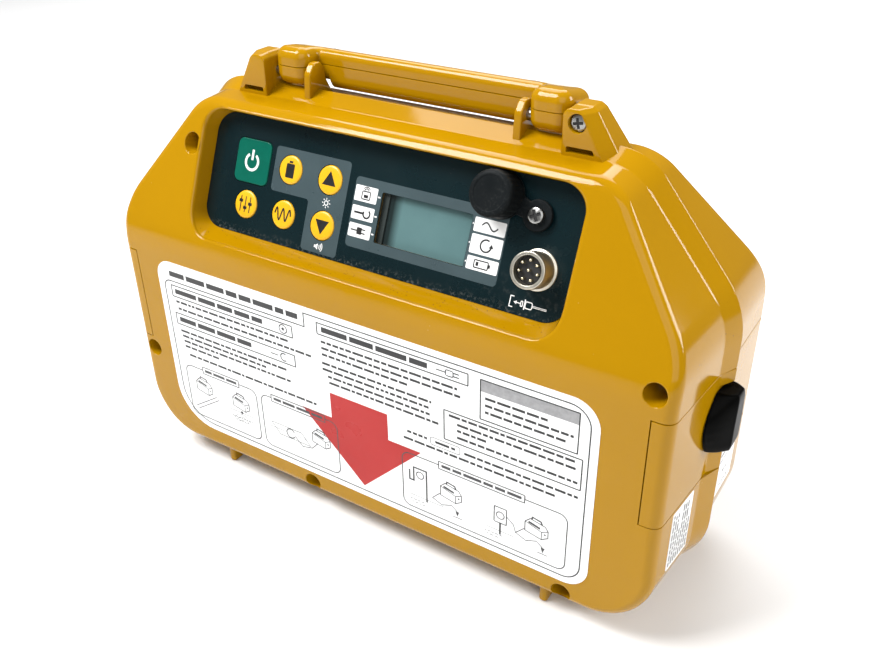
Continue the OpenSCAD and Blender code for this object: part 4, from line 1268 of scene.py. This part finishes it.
# fine rows
for x0, x1, z in (
    (-109.8, -38.3, 95.2), (-109.1, -23.6, 91.4), (-110.0, -41.2, 78.6), (-109.4, -54.1, 75.7), (-109.0, -39.3, 72.8), (-108.8, -84.8, 69.8),
    (-106.7, -24.6, 65.2), (-18.6, 52.1, 101.4), (-18.6, 53.6, 98.1), (-18.6, 28.0, 94.8), (-18.9, 39.4, 90.2), (-18.9, 38.0, 87.0),
    (-16.2, 38.5, 83.7), (-15.7, 42.8, 80.5), (48.0, 105.5, 87.0), (52.0, 106.0, 83.6), (52.0, 66.0, 80.5), (52.0, 107.2, 77.0),
    (26.5, 36.8, 70.4), (55.5, 107.9, 69.9), (24.5, 98.0, 66.4), (65.2, 93.0, 101.8), (65.2, 104.2, 98.4), (65.2, 101.0, 95.0),
):
    dashes(bk, x0, x1, z, 1.2, 0.75, 1.6, 6.0)
bk.frame(38.6, 68.2, 53.4, 72.2, 1.0, 0.26)
dashes(bk, 41.0, 51.0, 70.2, 1.2)
bk.build("label_print", front_xz, LY + 0.04, INK, "case", "label_white", (0, -1, 0))

# three picture boxes: a case over a buried line, a clamp on a line, a lead to a pipe and to a stake
gy = Ink()
PICS = ((-111.2, 28.2, -63.4, 58.4, -99.0, -74.6), (-60.2, 28.2, -13.4, 58.4, -53.4, -20.4), (23.2, 28.2, 104.4, 58.4, 42.5, 84.7))
for x0, z0, x1, z1, t0, t1 in PICS:
    path = [(t0, z1), (x0 + 4, z1)] + [(x0 + 4 - 4 * math.sin(a), z1 - 4 + 4 * math.cos(a)) for a in arc_steps(8)]
    path += [(x0 + 4 - 4 * math.cos(a), z0 + 4 - 4 * math.sin(a)) for a in arc_steps(8)]
    path += [(x1 - 4 + 4 * math.sin(a), z0 + 4 - 4 * math.cos(a)) for a in arc_steps(8)]
    path += [(x1 - 4 + 4 * math.cos(a), z1 - 4 + 4 * math.sin(a)) for a in arc_steps(8)] + [(t1, z1)]
    gy.ribbon(path, 0.5)
    gy.frame(t0, z1 - 2.0, t1, z1 + 2.0, 0.3, 0.5)
    dashes(gy, t0 + 1.5, t1 - 1.5, z1, 1.5, 1.0, 4.0, 9.0)


def small_case(x, z, k=1.0):
    """Outline of a boxy case with a carrying handle, seen a little from above."""
    P = lambda q: [(x + a * k, z + b * k) for a, b in q]
    gy.ribbon(P([(-5.2, -3.0), (2.6, -4.6), (5.6, -2.6), (5.6, 1.0), (4.2, 3.0), (-2.8, 4.4), (-5.2, 2.0)]), 0.42, True)
    gy.ribbon(P([(2.6, -4.6), (2.6, -0.6), (5.6, 1.0)]), 0.34)
    gy.ribbon(P([(-5.2, 2.0), (2.6, -0.6)]), 0.34)
    gy.ribbon(P([(-2.2, 4.2), (-1.8, 5.6), (2.2, 4.8), (2.8, 3.2)]), 0.7)
    gy.ribbon(P([(-3.6, 2.4), (1.8, 1.0)]), 1.1)
    gy.disc(x + 4.2 * k, z - 1.4 * k, 0.45 * k)


small_case(-100.0, 48.0)
small_case(-75.0, 47.0)
gy.ribbon([(-108.0, 33.6), (-92.0, 44.2)], 0.4)
gy.ribbon([(-106.6, 32.2), (-90.6, 42.8)], 0.4)
gy.disc(-75.0, 41.2, 0.8)
small_case(-24.0, 45.0)
gy.ribbon([(-55.0, 44.0), (-36.0, 44.0), (-31.0, 38.0), (-50.0, 38.0)], 0.34, True)
gy.arc(-43.0, 41.0, 2.6, 30, 330, 0.55, 20)
gy.ribbon([(-40.4, 40.4), (-36.0, 36.0), (-30.0, 37.4), (-26.4, 41.4)], 0.4)
for x in (32.0, 74.0):
    small_case(x + 16.5, 45.0)
    gy.ribbon([(x + 11.0, 42.6), (x + 7.0, 38.4), (x + 12.0, 36.4), (x + 17.0, 38.4), (x + 20.0, 36.0)], 0.36)
    gy.poly([(x + 19.0, 36.0), (x + 21.0, 36.0), (x + 20.0, 33.2)])
    gy.ribbon([(x + 17.6, 32.6), (x + 22.4, 32.6)], 0.34)
gy.ribbon([(27.0, 49.5), (27.0, 44.0), (29.2, 44.0), (29.2, 51.5), (36.0, 51.5), (36.0, 34.0)], 0.8)
gy.arc(32.6, 48.0, 1.9, 0, 360, 0.5, 20)
gy.frame(70.5, 40.0, 76.5, 48.5, 0.4, 0.5)
gy.arc(73.5, 44.2, 1.9, 0, 360, 0.45, 20)
gy.ribbon([(73.5, 40.0), (73.5, 33.5)], 0.9)
gy.ribbon([(76.5, 45.0), (80.0, 42.0), (81.0, 38.4)], 0.36)
gy.build("label_pictures", front_xz, LY + 0.04, INK_GREY, "case", "label_white", (0, -1, 0))
pale = Ink()
for x0, x1, z in ((-84.0, -66.5, 41.0), (-57.0, -47.0, 41.0), (-39.0, -33.0, 41.0), (27.0, 45.0, 35.5), (67.0, 80.0, 35.5)):
    pale.ribbon([(x0, z), (x1, z)], 0.3)
for r in (2.4, 4.2, 6.0):
    pale.arc(-75.0, 34.0, r, 20, 160, 0.3, 14)
for x0, x1, z in ((27.0, 36.0, 33.0), (28.0, 35.0, 31.4), (66.0, 75.0, 33.0), (67.0, 74.0, 31.4), (-82.0, -68.0, 37.4), (-80.0, -70.0, 35.6)):
    dashes(pale, x0, x1, z, 0.5, 0.7, 0.8, 1.8)
pale.build("label_pictures_pale", front_xz, LY + 0.04, INK_PALE, "case", "label_white", (0, -1, 0))
bar = Ink()
bar.rect(63.2, 104.6, 106.0, 110.0)
bar.build("label_bar", front_xz, LY + 0.02, INK_PALE, "case", "label_white", (0, -1, 0))

# small labels on the right wall
A_F = math.atan(DRAFT_F)
A_R = math.atan(0.2 / 48)


def wall_f(a, b, h):
    return np.array([HW + a * math.sin(A_F) + h * math.cos(A_F), a * math.cos(A_F) - h * math.sin(A_F), b])


def wall_r(a, b, h):
    return np.array([HW - a * math.sin(A_R) + h * math.cos(A_R), a * math.cos(A_R) + h * math.sin(A_R), b])


for name, T, box, node in (("label_side", wall_f, (-36.6, 36.5, -17.5, 66.6), "side_label"), ("label_rear", wall_r, (12.0, 40.0, 35.0, 65.5), "rear_label")):
    x0, z0, x1, z1 = box
    q, n = rpoly([(x1, z0), (x1, z1), (x0, z1), (x0, z0)], 0.8, 4)
    build(name, slab(q, n, 0.0, 0.2, 0, 0.06, T, 2), WHITE, "case", [node])
tx = Ink()
swap = lambda a, b, h: wall_f(b, a, h)
for i in range(8):
    dashes(tx, 38.0, 65.2 if i not in (3, 7) else 54.0, -34.9 + i * 2.24, 1.15, 0.8, 1.4, 4.6)
tx.build("label_side_print", swap, 0.23, INK, "case", "label_white", (1, 0, 0))
tx = Ink()
dashes(tx, 14.0, 24.0, 62.0, 1.2)
dashes(tx, 14.0, 30.0, 58.6, 0.8)
dashes(tx, 20.0, 26.0, 50.6, 1.6, 1.2, 1.2, 2.6)
dashes(tx, 18.0, 30.0, 44.0, 1.0, 1.0, 1.2, 2.6)
tx.build("label_rear_print", wall_r, 0.23, INK, "case", "label_white", (1, 0, 0))

# ------------------------------------------------------------------ stage and light
fl = bpy.data.meshes.new("floor")
s = 6.0
fl.from_pydata([(-s, -s, -0.0002), (s, -s, -0.0002), (s, s, -0.0002), (-s, s, -0.0002)], [], [(0, 1, 2, 3)])
floor = bpy.data.objects.new("floor", fl)
scene.collection.objects.link(floor)
fm, fnt, fb = new_mat("floor_white", (0.76, 0.76, 0.76), 0.55)
fb.inputs["Specular IOR Level"].default_value = 0.2
shade(fnt, fb, (0.75, 0.75, 0.75), (0.77, 0.77, 0.77), 3.0)
fl.materials.append(fm)

world = bpy.data.worlds.new("studio")
scene.world = world
world.use_nodes = True
bg = world.node_tree.nodes["Background"]
bg.inputs["Color"].default_value = (1.0, 1.0, 1.0, 1)
bg.inputs["Strength"].default_value = 0.2

def area(name, loc, aim, size, energy, size_y=None, color=(1, 1, 1)):
    d = bpy.data.lights.new(name, "AREA")
    d.shape = "RECTANGLE"
    d.size = size
    d.size_y = size_y or size
    d.energy = energy
    d.color = color
    o = bpy.data.objects.new(name, d)
    scene.collection.objects.link(o)
    o.location = loc
    o.rotation_euler = (Vector(aim) - Vector(loc)).to_track_quat("-Z", "Y").to_euler()
    return o


area("key", (-0.60, -0.52, 1.26), (0, 0, 0.10), 0.65, 30.5, 0.65)
area("side", (1.15, 0.68, 0.66), (0.05, 0, 0.08), 0.6, 16, 0.6)
area("far", (-0.50, 1.05, 1.45), (-0.05, 0.45, 0.0), 1.3, 26, 1.2)
area("fill", (0.85, -1.05, 0.95), (0.28, -0.10, 0.0), 1.4, 12, 1.4)
scene.view_settings.view_transform = "Standard"

# ------------------------------------------------------------------ carried-over nodes
KEEP = {
    "case_gasket": BLACK_MATT, "lcd_module": BLACK_MATT, "keypad_board": BOARD, "main_board": BOARD, "buzzer": BLACK_MATT,
    "connector_nut": NICKEL, "handle_pins": STEEL, "hinge_pins": STEEL, "battery_trays": BLACK_MATT, "battery_cells": CELL,
    "battery_contacts": CONTACT, "ferrite_rod": FERRITE, "antenna_winding": COPPER, "right_latch_pin": STEEL, "left_latch_pin": STEEL,
    "right_hook": STEEL, "left_hook": STEEL,
}
for node, m in KEEP.items():
    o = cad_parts[node]
    o.data.materials.clear()
    o.data.materials.append(m)
